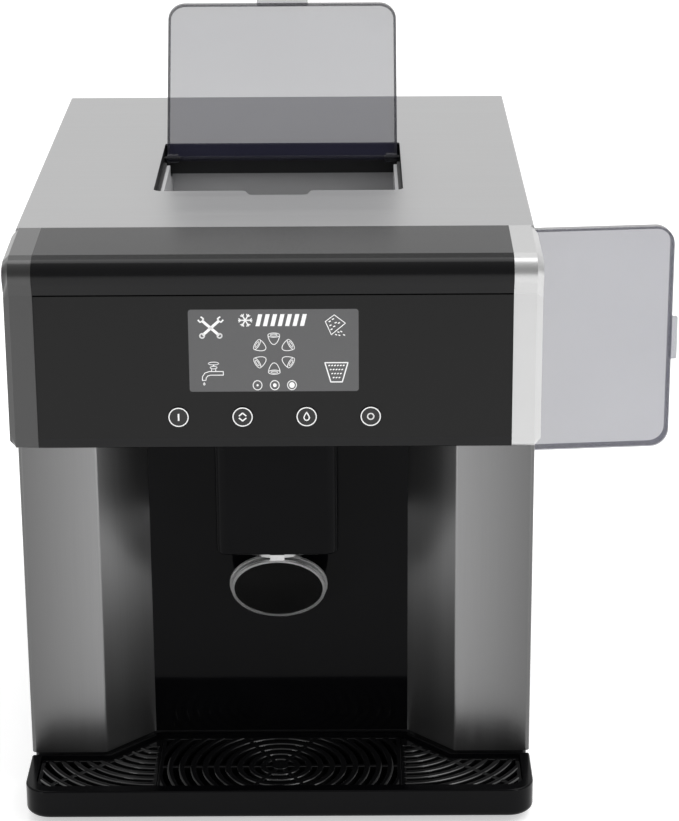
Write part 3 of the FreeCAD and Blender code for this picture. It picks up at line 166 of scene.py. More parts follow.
# ---- Steel cabinet: columns, sides, top and back ----
# Stainless sheet 1.2 to 1.5 mm thick, linished along its length and folded at the corners.
# The back is plain galvanised sheet with cross-head screws, and shows its spangle.
def linished(name, level, fine, roughness, edge_shade_share=1.0, edge_shade_span=(1.0, 2.0)):
    """Brushed stainless: long scratches, finest across the brushing direction.
    A painted shade darkens the sheet towards the outer edge, to the share given, over a span from the middle."""
    finish = Finish(name, {"Metallic": 1.0})
    scratches = finish.noise(fine, 3.0)
    bands = finish.noise(tuple(part * 0.12 for part in fine), 2.0)
    clouds = finish.noise((5, 5, 5))
    share = scratches * 0.5 + bands * 0.3 + clouds * 0.2
    dark = (level * 0.84, level * 0.84, level * 0.85, 1)
    light = (level * 1.1, level * 1.1, level * 1.1, 1)
    tone = finish.colours(share, dark, light)
    # Painted shade: past the span the tone turns to a plain darker grey, so the sheet looks shaded at its
    # outer edge.
    if edge_shade_share < 1.0:
        outward = finish.node("ShaderNodeMath", {"operation": "ABSOLUTE"}, {0: finish.along("X")})
        rim = finish.spread(outward, edge_shade_span[0], edge_shade_span[1])
        tone = finish.colours(rim, tone, grey(level * edge_shade_share))
    finish.feed(finish.shader.inputs["Base Color"], tone)
    finish.feed(finish.shader.inputs["Roughness"], roughness - 0.05 + 0.1 * bands)
    finish.bump(scratches, 0.000012, 0.6)
    return finish


# One stainless steel is given a light level on the top, a middle one on the sides and a dark one on the
# columns: lit and shaded copies of it, which is painted light and shade.
top_steel_painted_light = linished("linished_top_painted_light", 0.44, (9, 1600, 1600), 0.34)
side_steel = linished("linished_side", 0.34, (1600, 9, 1600), 0.34)
# The columns darken to half their level from 118 to 182 mm out: painted shade at their outer edges.
column_steel_painted_shade = linished("linished_column_painted_shade", 0.24, (1600, 1600, 9), 0.32, 0.5, (0.118, 0.182))
dress(top_steel_painted_light, "top_panel")
dress(side_steel, "left_side_panel", "right_side_panel")
dress(column_steel_painted_shade, "left_column", "right_column")

zinc = Finish("galvanised_sheet", {"Metallic": 0.9})
spangle_sockets = {"Vector": zinc.place((190, 190, 190)), "Scale": 1.0}
spangle = zinc.node("ShaderNodeTexVoronoi", {}, spangle_sockets, "Color")
flake = zinc.node("ShaderNodeSeparateColor", {}, {"Color": spangle}, 0)
zinc.feed(zinc.shader.inputs["Base Color"], zinc.colours(flake, (0.34, 0.35, 0.36, 1), (0.43, 0.44, 0.45, 1)))
zinc.feed(zinc.shader.inputs["Roughness"], 0.36 + 0.16 * flake)
zinc.bump(zinc.noise((900, 900, 900)), 0.00001)
dress(zinc, "rear_panel", "support_shelf")

ground_steel = linished("ground_steel", 0.6, (1200, 1200, 1200), 0.3)
dress(ground_steel, "cabinet_screws")
blackened = linished("blackened_steel", 0.04, (60, 1200, 1200), 0.4)
dress(blackened, "hinge_pins")


# ---- Niche wall ----
# Back wall of the dispensing niche: high-gloss black plate clipped between the columns.
# It is polished in the mould, so it mirrors the tray, with only a faint ripple.
def polished(name, colour, roughness, specular):
    """Glossy moulding: a slight ripple and fine handling marks in the gloss."""
    finish = Finish(name, {"Specular IOR Level": specular})
    wave = finish.noise((35, 35, 35), 1.0)
    marks = finish.noise((420, 420, 420), 4.0)
    deeper = tuple(0.7 * part for part in colour[:3]) + (1.0,)
    finish.feed(finish.shader.inputs["Base Color"], finish.colours(wave, deeper, colour))
    finish.feed(finish.shader.inputs["Roughness"], roughness + 0.05 * finish.spread(marks, 0.45, 0.75))
    finish.bump(wave, 0.00003)
    return finish


wall_black = polished("polished_black_wall", (0.0025, 0.0025, 0.003, 1), 0.06, 0.06)
dress(wall_black, "niche_wall")


# ---- Head: housing, lower trim and end caps ----
# The sloped top, the bullnose band and the frame round the glass are one glossy black ABS moulding.
# The end caps are silver-lacquered ABS, and a folded trim closes the lower edge of the glass.
head_black = polished("polished_black_head", (0.004, 0.004, 0.0045, 1), 0.16, 0.22)
dress(head_black, "head_housing", "head_bottom_trim")

silver = Finish("silver_lacquer_left_shaded", {"Metallic": 0.85, "Coat Weight": 0.4, "Coat Roughness": 0.12})
flakes = silver.noise((3800, 3800, 3800), 1.0)
drift = silver.noise((14, 14, 14))
silver_share = 0.6 * flakes + 0.4 * drift
silver_tone = silver.colours(silver_share, grey(0.45), grey(0.57))
# Painted shade: left of the middle the lacquer turns near black, grey 0.055, so the left end cap reads as
# shaded and the right one as lit.
left_cap_painted_shade = silver.spread(silver.along("X"), -0.02, 0.02)
silver.feed(silver.shader.inputs["Base Color"], silver.colours(left_cap_painted_shade, grey(0.055), silver_tone))
silver.feed(silver.shader.inputs["Roughness"], 0.28 + 0.1 * flakes)
silver.bump(drift, 0.00002)
dress(silver, "left_end_cap", "right_end_cap")


# ---- Control glass and display ----
# A 3 mm sheet of tempered glass, printed black on its back, with a grey window for the display.
# The symbols are printed in white ink, with a faint painted glow: tools, tap, spilt ice, full basket, ice
# shapes and sizes.
def glassy(name, colour, roughness, specular):
    finish = Finish(name, {"Specular IOR Level": specular})
    smear = finish.noise((60, 60, 22), 3.0)
    print_dots = finish.noise((5200, 5200, 5200), 1.0)
    paler = tuple(1.25 * part for part in colour[:3]) + (1.0,)
    finish.feed(finish.shader.inputs["Base Color"], finish.colours(print_dots, colour, paler))
    finish.feed(finish.shader.inputs["Roughness"], roughness + 0.04 * smear)
    finish.bump(smear, 0.00001)
    return finish


printed_glass = glassy("black_printed_glass", (0.012, 0.012, 0.012, 1), 0.12, 0.12)
window_grey = glassy("grey_display_window", (0.107, 0.107, 0.109, 1), 0.2, 0.14)
dress(printed_glass, "control_glass")
dress(window_grey, "display_window")

board_green = moulded("circuit_board", (0.02, 0.09, 0.035, 1), 0.4, 700, 0.00002)
dress(board_green, "display_board", "main_board")

# The ink's faint emission is a painted glow on the printed symbols and on the button rings.
white_ink_painted_glow = Finish("white_ink_painted_glow", {"Roughness": 0.5, "Emission Strength": 0.32})
ink_grain = white_ink_painted_glow.noise((4200, 4200, 4200))
ink_tone = white_ink_painted_glow.colours(ink_grain, grey(0.62), grey(0.8))
white_ink_painted_glow.feed(white_ink_painted_glow.shader.inputs["Base Color"], ink_tone)
white_ink_painted_glow.feed(white_ink_painted_glow.shader.inputs["Emission Color"], ink_tone)


class Ink:
    """Thick ink lines in millimetres about a centre, on a plane that faces the user."""

    depth = 0.00012

    def __init__(self, centre):
        self.centre = Vector(centre)
        self.shape = bmesh.new()

    def fill(self, points):
        corners = [self.shape.verts.new(self.centre + Vector((x * mm, 0, z * mm))) for x, z in points]
        self.shape.faces.new(corners)

    def line(self, points, width, closed=False):
        count = len(points)
        for index in range(count if closed else count - 1):
            start = Vector(points[index])
            end = Vector(points[(index + 1) % count])
            along = (end - start).normalized()
            side = Vector((-along.y, along.x)) * width / 2
            reach = along * width * 0.2
            corners = (start - reach + side, start - reach - side, end + reach - side, end + reach + side)
            self.fill([tuple(corner) for corner in corners])

    def oval(self, x, z, across, up, width, turn=0.0):
        sine, cosine = math.sin(turn), math.cos(turn)
        points = []
        for step in range(28):
            angle = step * math.tau / 28
            u, v = across * math.cos(angle), up * math.sin(angle)
            points.append((x + u * cosine - v * sine, z + u * sine + v * cosine))
        if width:
            self.line(points, width, True)
        else:
            self.fill(points)

    def lift(self, name, body, slot, finish):
        """Raise the drawing off its plane and hang it on a body."""
        raised = bmesh.ops.extrude_face_region(self.shape, geom=list(self.shape.faces))
        moved = [part for part in raised["geom"] if isinstance(part, bmesh.types.BMVert)]
        bmesh.ops.translate(self.shape, verts=moved, vec=(0, -self.depth, 0))
        bmesh.ops.recalc_face_normals(self.shape, faces=self.shape.faces)
        return piece(name, self.shape, body, finish)


def piece(name, shape, body, finish):
    """A mesh made here, hung on a CAD body with its finish."""
    mesh = bpy.data.meshes.new(name)
    shape.to_mesh(mesh)
    shape.free()
    made = bpy.data.objects.new(name, mesh)
    bpy.context.scene.collection.objects.link(made)
    made.data.materials.append(finish.material)
    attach(made, body)
    return made


window_low, window_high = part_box("display_window")
window_middle = (window_low + window_high) / 2
window_face = window_low.y - 0.00004


def symbol(x, z):
    return Ink((window_middle.x + x * mm, window_face, window_middle.z + z * mm))


tools = symbol(-42.3, 16.2)
for hand in (-1, 1):
    tools.line([(-5.4 * hand, 4.9), (5.4 * hand, -4.9)], 1.9)
    tools.oval(5.9 * hand, -5.5, 1.5, 1.5, 1.0)
    for prong in (-0.55, 0.55):
        foot = Vector((-5.6 * hand, 5.1))
        aim = Vector((-0.74 * hand, 0.67))
        beside = Vector((0.67 * hand, 0.74)) * (prong / 0.55)
        root = foot + beside * 0.4
        bend = foot + beside * 1.7 + aim * 0.4
        tip = foot + beside * 1.5 + aim * 2.5
        tools.line([tuple(root), tuple(bend), tuple(tip)], 1.0)
tools.lift("tools_symbol", "cabinet", "display", white_ink_painted_glow)

tap = symbol(-41.5, -16.0)
tap_outside = [(7.1, 1.3), (-2.5, 1.3), (-5.4, 0.2), (-7.1, -2.3), (-7.2, -5.0)]
tap_inside = [(-4.8, -5.0), (-4.6, -3.4), (-3.6, -1.9), (-1.6, -1.3), (7.1, -1.3)]
tap.line(tap_outside + tap_inside, 0.55, True)
tap.oval(0.6, 7.0, 3.5, 1.0, 0.5)
tap.oval(0.6, 4.1, 2.3, 0.9, 0.5)
tap.line([(0.6, 6.2), (0.6, 4.9)], 0.9)
tap.line([(-0.8, 3.2), (-0.8, 1.4)], 0.5)
tap.line([(2.0, 3.2), (2.0, 1.4)], 0.5)
tap.line([(-6.0, -6.6), (-6.6, -7.8), (-6.0, -8.5), (-5.4, -7.8)], 0.45, True)
tap.lift("tap_symbol", "cabinet", "display", white_ink_painted_glow)

spilt = symbol(41.5, 17.9)
spilt.line([(-0.4, 7.2), (7.1, 1.3), (-2.4, -6.8), (-6.4, 2.5)], 0.55, True)
for x, z in ((-3.4, 2.6), (-1.2, 4.2), (0.6, 1.6), (-2.9, -0.2), (-0.4, -1.0), (2.8, 1.4), (-2.2, -3.0)):
    spilt.line([(x - 0.6, z - 0.2), (x + 0.5, z + 0.3)], 0.8)
for x, z in ((2.4, -5.0), (4.3, -4.6), (0.8, -6.8), (3.0, -7.2), (6.2, -7.0)):
    spilt.line([(x - 0.5, z + 0.2), (x + 0.5, z - 0.2)], 0.75)
spilt.lift("spilt_ice_symbol", "cabinet", "display", white_ink_painted_glow)

full = symbol(42.4, -15.7)
full.line([(-7.8, 6.9), (7.8, 6.9), (3.9, -6.9), (-3.9, -6.9)], 0.8, True)
for row in range(4):
    z = 4.9 - row * 2.9
    count = 6 - row
    for index in range(count):
        x = (index - (count - 1) / 2) * 1.95
        full.line([(x - 0.4, z - 0.2), (x + 0.4, z + 0.2)], 0.8)
full.lift("full_basket_symbol", "cabinet", "display", white_ink_painted_glow)

shapes = symbol(0.2, -2.2)
for index in range(6):
    turn = math.radians(60 * index)
    spin = Matrix.Rotation(turn, 2)
    outline = []
    for step in range(13):
        angle = math.pi * (1 + step / 12)
        taper = 0.55 + 0.45 * abs(math.sin(angle))
        outline.append((4.0 * math.cos(angle), 2.4 + 6.9 * math.sin(angle) * taper))
    outline = [tuple(spin @ Vector((x, z + 11.0))) for x, z in outline]
    shapes.line(outline, 0.5)
    rim = spin @ Vector((0, 13.2))
    shapes.oval(rim.x, rim.y, 4.0, 1.5, 0.5, turn)
    shapes.oval(rim.x, rim.y, 2.3, 0.7, 0.45, turn)
shapes.lift("ice_shape_symbols", "cabinet", "display", white_ink_painted_glow)

sizes = symbol(0.4, -24.7)
for index, across in enumerate((0.8, 1.4, 2.1)):
    x = (index - 1) * 11.7
    sizes.oval(x, 0, 3.0, 3.3, 0.6)
    sizes.oval(x, 0, across * 0.9, across, 0)
sizes.lift("size_symbols", "cabinet", "display", white_ink_painted_glow)

gauge = symbol(0.6, 21.6)
for angle in (0, 60, 120):
    arm = Vector((math.cos(math.radians(angle)), math.sin(math.radians(angle)))) * 4.6
    gauge.line([(-19.5 - arm.x, -arm.y), (-19.5 + arm.x, arm.y)], 0.85)
    for end in (-1, 1):
        knot = Vector((-19.5, 0)) + arm * 0.62 * end
        for fork in (-40, 40):
            twig = Matrix.Rotation(math.radians(fork), 2) @ (arm.normalized() * end) * 2.0
            gauge.line([tuple(knot), tuple(knot + twig)], 0.6)
for index in range(7):
    x = -10.5 + index * 5.0
    gauge.fill([(x - 2.2, -4.2), (x + 0.6, -4.2), (x + 2.6, 4.2), (x - 0.2, 4.2)])
gauge.lift("level_symbol", "cabinet", "display", white_ink_painted_glow)


# ---- Buttons ----
# Four round caps of glossy black acetal behind the glass, each with a printed white ring.
# Their signs are a bar for on, arrows to choose, a drop for water and an open ring for off.
cap_black = polished("polished_button_black", (0.012, 0.012, 0.012, 1), 0.18, 0.4)


def button_sign(name):
    low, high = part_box(name)
    centre = (low + high) / 2
    dress(cap_black, name)
    return Ink((centre.x, low.y - 0.00003, centre.z))


signs = {name: button_sign(f"{name}_button") for name in ("power_on", "select", "water", "power_off")}
signs["power_on"].line([(0, -2.3), (0, 2.3)], 1.1)
signs["select"].line([(-2.4, 0.8), (0, 2.8), (2.4, 0.8)], 0.9)
signs["select"].line([(-2.4, -0.8), (0, -2.8), (2.4, -0.8)], 0.9)
drop = [(0, 3.2), (1.4, 0.9), (1.9, -0.7), (1.3, -2.1), (0, -2.7), (-1.3, -2.1), (-1.9, -0.7), (-1.4, 0.9)]
signs["water"].line(drop, 0.8, True)
signs["power_off"].oval(0, 0, 2.1, 2.1, 0.9)
for name, sign in signs.items():
    sign.oval(0, 0, 6.55, 6.55, 0.75)
    sign.lift(f"{name}_sign", f"{name}_button", "button_cap", white_ink_painted_glow)


# ---- Spout, collar and nozzle ----
# A glossy black housing screwed to the niche wall, with a chromed collar round the ice outlet.
# The nozzle is a small chromed block at the front of the collar, where the water runs out.
spout_black = polished("polished_spout", (0.003, 0.003, 0.0035, 1), 0.16, 0.05)
dress(spout_black, "spout_housing")


def chromed(name, dim, bright, roughness):
    """Chromed moulding, a little clouded by fine bloom."""
    finish = Finish(name, {"Metallic": 1.0})
    bloom = finish.noise((260, 260, 260), 3.0)
    finish.feed(finish.shader.inputs["Base Color"], finish.colours(bloom, grey(dim), grey(bright)))
    finish.feed(finish.shader.inputs["Roughness"], roughness + 0.08 * bloom)
    finish.bump(bloom, 0.000004)
    return finish


dress(chromed("collar_chrome", 0.36, 0.5, 0.1), "spout_collar", "water_nozzle")


# ---- Paddle ----
# A black disc between two chromed rims, on an arm that swings back from a pin and works a switch.
# The cup is pressed against it, so its face is polished.
paddle_black = polished("polished_paddle", (0.006, 0.006, 0.006, 1), 0.12, 0.3)
dress(paddle_black, "paddle_plate", "paddle_arm", "paddle_switch")
dress(chromed("rim_chrome", 0.9, 0.98, 0.34), "paddle_rims")


# ---- Top opening and its lid ----
# A matt black collar lines the opening, and the lid is smoked clear SAN on two steel pins.
# Its rim is folded down, so more plastic lies in the line of sight there and it looks darker.
dress(black_pan, "top_collar", "side_collar")


def smoked_plastic(name, blocked, violet):
    """Clear plastic with a grey-violet tint that blocks part of the light at each face."""
    finish = Finish(name, {"Specular IOR Level": 0.35, "Roughness": 0.07})
    drift = finish.noise((12, 12, 12))
    deep = (0.02, 0.02, 0.02 + violet, 1)
    tint = finish.colours(drift, deep, (0.035, 0.035, 0.035 + violet, 1))
    finish.feed(finish.shader.inputs["Base Color"], tint)
    finish.feed(finish.shader.inputs["Alpha"], blocked - 0.015 + 0.03 * drift)
    finish.bump(drift, 0.00001)
    return finish


smoked_top = smoked_plastic("smoked_clear_top", 0.355, 0.035)
smoked_side = smoked_plastic("smoked_clear_side", 0.41, 0.05)
smoked_rim = smoked_plastic("smoked_clear_rim", 0.5, 0.01)


def rounded(corners):
    """Points of a closed outline from its corners (u, v, radius)."""
    points = []
    for index, (u, v, radius) in enumerate(corners):
        here = Vector((u, v))
        back = (Vector(corners[index - 1][:2]) - here).normalized()
        ahead = (Vector(corners[(index + 1) % len(corners)][:2]) - here).normalized()
        if radius == 0:
            points.append(here)
            continue
        half = back.angle(ahead) / 2
        centre = here + (back + ahead).normalized() * (radius / math.sin(half))
        start = here + back * (radius / math.tan(half)) - centre
        end = here + ahead * (radius / math.tan(half)) - centre
        sweep = start.angle_signed(end)
        for step in range(9):
            points.append(centre + Matrix.Rotation(-sweep * step / 8, 2) @ start)
    return points


def slab(shape, outer, low, high, inner=None):
    """Upright wall or plate between two heights, in millimetres, solid or with a hole."""
    loops = []
    for points, level in ((outer, low), (outer, high), (inner, high), (inner, low)):
        if points:
            loops.append([shape.verts.new((point[0] * mm, point[1] * mm, level * mm)) for point in points])
    count = len(outer)
    if inner:
        for first, second in zip(loops, loops[1:] + loops[:1]):
            for index in range(count):
                after = (index + 1) % count
                shape.faces.new((first[index], first[after], second[after], second[index]))
        return
    for index in range(count):
        after = (index + 1) % count
        shape.faces.new((loops[0][index], loops[0][after], loops[1][after], loops[1][index]))
    shape.faces.new(loops[1])
    shape.faces.new(loops[0][::-1])


def circle(centre, radius, count):
    """Points evenly spaced round a circle."""
    turns = [step * math.tau / count for step in range(count)]
    return [(centre[0] + radius * math.cos(turn), centre[1] + radius * math.sin(turn)) for turn in turns]


def shrunk(corners, distance):
    """The same outline, each side moved inwards."""
    moved = []
    for index, (u, v, radius) in enumerate(corners):
        here = Vector((u, v))
        back = (here - Vector(corners[index - 1][:2])).normalized()
        ahead = (Vector(corners[(index + 1) % len(corners)][:2]) - here).normalized()
        normals = (Vector((-back.y, back.x)), Vector((-ahead.y, ahead.x)))
        total = normals[0] + normals[1]
        point = here + total * (distance / (1 + normals[0].dot(normals[1])))
        moved.append((point.x, point.y, max(radius - distance, 0.05) if radius else 0))
    return moved


def soften(made, width, segments=3):
    """Round the sharp edges of a piece, as its mould does."""
    rounding = made.modifiers.new("rounding", "BEVEL")
    rounding.width = width * mm
    rounding.segments = segments
    rounding.limit_method = "ANGLE"
    rounding.angle_limit = math.radians(40)
    rounding.harden_normals = True
    made.data.polygons.foreach_set("use_smooth", [True] * len(made.data.polygons))


def joint(name):
    return next(item for item in frame["joints"] if item["name"] == name)


lid_sheet = 2.5
rim_wall = 2.0
knuckle_radius = 3.6
knuckle_length = 9


def folding_lid(name, clear, rise, axes, turn_axis, span, length, skirt, tab):
    """Lid drawn shut, with u from its hinge, v along the hinge and w outwards, then swung open.
    rise is the outer face's height above the pins, and tab is (middle, half width, reach)."""
    hinge = joint(f"{name}_hinge")
    pivot = Vector(hinge["pos_m"])
    along = axes[1].index(1)
    pivot[along] = 0.0
    corners = [(0, span[0], 0), (length, span[0], 13), (length, span[1], 13), (0, span[1], 0)]
    plate = bmesh.new()
    slab(plate, rounded(corners), -lid_sheet, 0)
    middle, half, reach = tab
    tongue = bmesh.new()
    lip = [
        (length - 1, middle - half, 0),
        (length + reach, middle - half, 1.2),
        (length + reach, middle + half, 1.2),
        (length - 1, middle + half, 0),
    ]
    slab(tongue, rounded(lip), -lid_sheet, 0)
    rim = bmesh.new()
    slab(rim, rounded(corners), -skirt, 0.1 - lid_sheet, rounded(shrunk(corners, rim_wall)))
    knuckle = bmesh.new()
    for low, high in ((span[0], span[0] + knuckle_length), (span[1] - knuckle_length, span[1])):
        slab(knuckle, circle((0, 0), knuckle_radius, 24), low, high)
    knuckle.transform(Matrix(((1, 0, 0, 0), (0, 0, 1, 0), (0, -1, 0, -rise * mm), (0, 0, 0, 1))))
    stand = Matrix.Identity(4)
    for column, axis in enumerate(axes):
        for row in range(3):
            stand[row][column] = axis[row]
    swing = Matrix.Rotation(-math.radians(hinge["range_deg"][1]), 4, turn_axis)
    outer_face = Vector(axes[2]) * rise * mm
    parts = (
        ("plate", plate, clear),
        ("tongue", tongue, clear),
        ("rim", rim, smoked_rim),
        ("knuckles", knuckle, smoked_rim),
    )
    for part, shape, finish in parts:
        shape.transform(Matrix.Translation(pivot) @ swing @ Matrix.Translation(outer_face) @ stand)
        bmesh.ops.recalc_face_normals(shape, faces=shape.faces)
        made = piece(f"{name}_{part}", shape, name, finish)
        soften(made, 0.35)
    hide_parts(name)


folding_lid(
    "top_lid", smoked_top, rise=6.5, axes=((0, -1, 0), (1, 0, 0), (0, 0, 1)), turn_axis="X",
    span=(-89, 89), length=126, skirt=6.0, tab=(0, 20, 5.5),
)
folding_lid(
    "side_lid", smoked_side, rise=3.5, axes=((0, 1, 0), (0, 0, 1), (1, 0, 0)), turn_axis="Z",
    span=(232.5, 397.5), length=106, skirt=8.0, tab=(315, 16, 4),
)


# ---- Drip tray and grilles ----
# The tray is glossy black ABS that slides in round the niche, and three ribbed grilles lie in it.
# The ribs are arcs about one point in each grille, rounded on top so that spilt water runs off.
tray_black = polished("polished_tray", (0.002, 0.002, 0.0025, 1), 0.14, 0.1)
grille_black = polished("polished_grille", (0.006, 0.006, 0.0065, 1), 0.1, 0.9)
dress(tray_black, "drip_tray")

grille_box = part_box("centre_grille")
grille_low, grille_high = grille_box[0].z / mm, grille_box[1].z / mm
first_rib = 12.2
rib_pitch = 8.4
rib_half = 2.3
rib_count = 22
hub_radius = 6.1
bar_half = 1.6
bar_reach = 190


def ring_rib(field, middle, radius):
    """One ring rib, upright at its sides and domed on top."""
    shoulder = grille_high - 1.0
    section = [(-rib_half, grille_low), (-rib_half, shoulder)]
    for turn in (-60, -30, 0, 30, 60):
        lean = math.radians(turn)
        section.append((rib_half * math.sin(lean), shoulder + math.cos(lean)))
    section += [(rib_half, shoulder), (rib_half, grille_low)]
    steps = 72 if radius < 60 else 120
    rings = []
    for step in range(steps):
        angle = step * math.tau / steps
        ring = []
        for off, level in section:
            x = middle[0] + (radius + off) * math.cos(angle)
            y = middle[1] + (radius + off) * math.sin(angle)
            ring.append(field.verts.new((x * mm, y * mm, level * mm)))
        rings.append(ring)
    for step, ring in enumerate(rings):
        ahead = rings[(step + 1) % steps]
        for corner in range(len(section) - 1):
            field.faces.new((ring[corner], ahead[corner], ahead[corner + 1], ring[corner + 1]))


def clipped(field, area):
    """Cut away what lies outside an area with straight sides."""
    for index, corner in enumerate(area):
        after = area[(index + 1) % len(area)]
        run = (Vector(after) - Vector(corner)).normalized()
        bmesh.ops.bisect_plane(
            field,
            geom=list(field.verts) + list(field.edges) + list(field.faces),
            plane_co=(corner[0] * mm, corner[1] * mm, 0),
            plane_no=(run.y, -run.x, 0),
            clear_outer=True,
        )


def ribbed_grille(shape, outline, middle, areas, bars):
    """Frame, hub, ring ribs about a point and straight bars, cut to the outline's areas."""
    slab(shape, rounded(outline), grille_low, grille_high - 0.5, rounded(shrunk(outline, 3.0)))
    for area in areas:
        field = bmesh.new()
        for index in range(rib_count):
            ring_rib(field, middle, first_rib + rib_pitch * index)
        slab(field, circle(middle, hub_radius, 24), grille_low, grille_high)
        for angle in bars:
            turn = math.radians(angle)
            along = Vector((math.cos(turn), math.sin(turn)))
            across = Vector((-along.y, along.x)) * bar_half
            start = Vector(middle) - along * bar_reach
            end = Vector(middle) + along * bar_reach
            corners = (start - across, end - across, end + across, start + across)
            slab(field, corners, grille_low, grille_high - 0.4)
        clipped(field, area)
        kept = bpy.data.meshes.new("kept_ribs")
        field.to_mesh(kept)
        field.free()
        shape.from_mesh(kept)
        bpy.data.meshes.remove(kept)
    return shape


front, rear = grille_box[0].y / mm, grille_box[1].y / mm
half = grille_box[1].x / mm
gap = 0.3
margin = 2
rib_centre = (0, -240)
middle_outline = [(-half, front, 1), (half, front, 1), (half, rear, 1), (-half, rear, 1)]
middle_area = [
    (-half + margin, front + margin),
    (half - margin, front + margin),
    (half - margin, rear - margin),
    (-half + margin, rear - margin),
]
middle_grille = ribbed_grille(bmesh.new(), middle_outline, rib_centre, [middle_area], (0, 60, 120))
bmesh.ops.recalc_face_normals(middle_grille, faces=middle_grille.faces)
centre_ribs = piece("centre_grille_ribs", middle_grille, "centre_grille", grille_black)
soften(centre_ribs, 0.3, 2)
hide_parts("centre_grille")

# A wing lies at each side of the centre grille, and its slanted edge follows the column's slant.
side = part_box("wing_grilles")[1].x / mm
wing_rear = -228.8
slant_outer, slant_inner = 122.4, 88.8
wing_centre = (91.5, -204)
wing_outline = [
    (half + gap, front, 0),
    (side, front, 10.5),
    (side, wing_rear, 1.5),
    (slant_outer, wing_rear, 0),
    (slant_inner, rear, 0),
    (half + gap, rear, 0),
]
outer_area = [
    (slant_outer, front + margin),
    (side - margin, front + margin),
    (side - margin, wing_rear - margin),
    (slant_outer, wing_rear - margin),
]
inner_area = [
    (half + margin, front + margin),
    (slant_outer, front + margin),
    (slant_outer, wing_rear - margin),
    (half + margin, rear - 2 * margin),
]
wings = ribbed_grille(bmesh.new(), wing_outline, wing_centre, [outer_area, inner_area], (-42,))
other = wings.copy()
other.transform(Matrix.Scale(-1, 4, (1, 0, 0)))
mirror_mesh = bpy.data.meshes.new("other_wing")
other.to_mesh(mirror_mesh)
other.free()
wings.from_mesh(mirror_mesh)
bpy.data.meshes.remove(mirror_mesh)
bmesh.ops.recalc_face_normals(wings, faces=wings.faces)
wing_ribs = piece("wing_grille_ribs", wings, "drip_tray", grille_black)
soften(wing_ribs, 0.3, 2)
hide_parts("wing_grilles")


# ---- Ice compartment ----
# A pale vacuum-formed liner with foam round it, an open basket, and a steel slide for the ice.
# Water freezes on nickel-plated fingers that dip in a tipping trough, worked by a small motor.
liner_pale = moulded("pale_liner", (0.62, 0.62, 0.63, 1), 0.3, 900, 0.00002)
foam = moulded("rigid_foam", (0.74, 0.7, 0.56, 1), 0.85, 420, 0.0002)
dress(liner_pale, "inner_liner", "ice_basket", "water_tray", "ice_slide")
dress(foam, "insulation")
nickel = linished("plated_nickel", 0.66, (900, 900, 60), 0.2)
dress(nickel, "evaporator")
dress(black_pan, "tray_motor")


# ---- Water side ----
# Jug-fill bay and tank of white polypropylene, two pumps on the pan, silicone tubes and a drain.
# The drain ends in a spigot at the back with a rubber plug.
white_plastic = moulded("white_polypropylene", (0.78, 0.78, 0.76, 1), 0.38, 1200, 0.00003)
silicone = moulded("milky_silicone", (0.66, 0.66, 0.66, 1), 0.45, 500, 0.00002)
dress(white_plastic, "fill_bay", "water_tank", "water_pumps", "drain_spigot")
dress(silicone, "water_tubes")
dress(rubber, "drain_plug", "compressor_grommets")


# ---- Refrigeration and power ----
# Enamelled compressor on rubber grommets, a finned condenser with its fan, copper pipes and drier.
# The power board stands off the back panel, next to a moulded appliance inlet.
enamel = polished("black_enamel", (0.015, 0.015, 0.016, 1), 0.22, 0.5)
fins = linished("thin_aluminium", 0.72, (60, 60, 1500), 0.35)
copper = Finish("copper_pipe", {"Metallic": 1.0})
tarnish = copper.noise((90, 90, 90), 4.0)
copper_tone = copper.colours(tarnish, (0.42, 0.19, 0.1, 1), (0.75, 0.4, 0.26, 1))
copper.feed(copper.shader.inputs["Base Color"], copper_tone)
copper.feed(copper.shader.inputs["Roughness"], 0.22 + 0.25 * tarnish)
dress(enamel, "compressor")
dress(fins, "condenser")
dress(copper, "refrigerant_pipes", "filter_drier")
dress(black_pan, "fan_shroud", "fan_blades", "fan_motor", "power_inlet")


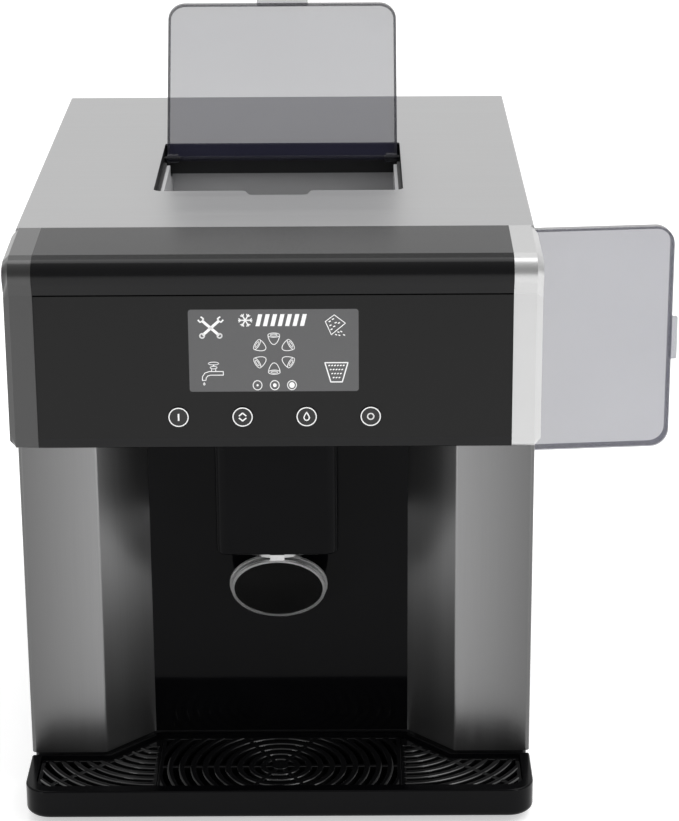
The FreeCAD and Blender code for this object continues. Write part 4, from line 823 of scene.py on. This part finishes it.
# ---- Floor, lights and camera ----
# A seamless sheet of white acrylic, lit faintly from beneath. A wide light hangs above and a key
# light stands at the upper right, and two low ones catch the chrome and the ribs of the tray.
floor_shape = bmesh.new()
bmesh.ops.create_grid(floor_shape, x_segments=4, y_segments=4, size=9.0)
floor_mesh = bpy.data.meshes.new("floor")
floor_shape.to_mesh(floor_mesh)
floor_shape.free()
floor = bpy.data.objects.new("floor", floor_mesh)
bpy.context.scene.collection.objects.link(floor)
floor.location = (0, 2.0, -0.0002)
pale = Finish("pale_floor", {"Roughness": 0.9, "Specular IOR Level": 0.1, "Emission Strength": 0.55})
pale_tone = pale.colours(pale.noise((3, 3, 3)), grey(0.86), grey(0.9))
pale.feed(pale.shader.inputs["Base Color"], pale_tone)
pale.feed(pale.shader.inputs["Emission Color"], pale_tone)
floor.data.materials.append(pale.material)


def softbox(name, place, aim, width, height, power):
    """Rectangular light that faces a point."""
    lamp = bpy.data.lights.new(name, "AREA")
    lamp.shape = "RECTANGLE"
    lamp.size = width
    lamp.size_y = height
    lamp.energy = power
    stand = bpy.data.objects.new(name, lamp)
    stand.location = place
    stand.rotation_euler = (Vector(aim) - Vector(place)).to_track_quat("-Z", "Y").to_euler()
    stand.visible_camera = False
    bpy.context.scene.collection.objects.link(stand)


softbox("key_light", (1.5, -0.5, 2.2), (0, 0, 0.3), 1.6, 1.6, 16)
softbox("top_light", (0.2, 0.7, 3.2), (0, 0.1, 0.2), 3.0, 1.8, 30)
softbox("left_low_light", (-0.9, -1.3, 0.22), (0, -0.2, 0.1), 0.3, 0.3, 2.5)
softbox("right_low_light", (0.9, -1.3, 0.22), (0, -0.2, 0.1), 0.3, 0.3, 2.5)

world = bpy.data.worlds.new("soft_studio")
bpy.context.scene.world = world
world.use_nodes = True
sky = Nodes(world.node_tree)
outlook = sky.node("ShaderNodeTexCoord", {}, {}, "Generated")
rearward = sky.node("ShaderNodeSeparateXYZ", {}, {"Vector": outlook}, "Y")
background = world.node_tree.nodes["Background"]
background.inputs["Color"].default_value = grey(1.0)
sky.feed(background.inputs["Strength"], sky.spread(rearward, -0.9, 0.9, 0.35, 1.0))

yaw, pitch, roll = 0.0038, 0.3385, -0.0064
camera_place = (0.05085, -1.98496, 0.90865)
camera = bpy.data.cameras.new("camera")
camera.lens = 118.15
camera.clip_start = 0.05
camera.clip_end = 60.0
view = bpy.data.objects.new("camera", camera)
heading = Matrix.Rotation(yaw, 4, "Z")
raised = Matrix.Rotation(math.pi / 2 - pitch, 4, "X")
turned = heading @ raised @ Matrix.Rotation(roll, 4, "Z")
view.matrix_world = Matrix.Translation(camera_place) @ turned
bpy.context.scene.collection.objects.link(view)
bpy.context.scene.camera = view
bpy.context.scene.view_settings.view_transform = "Standard"
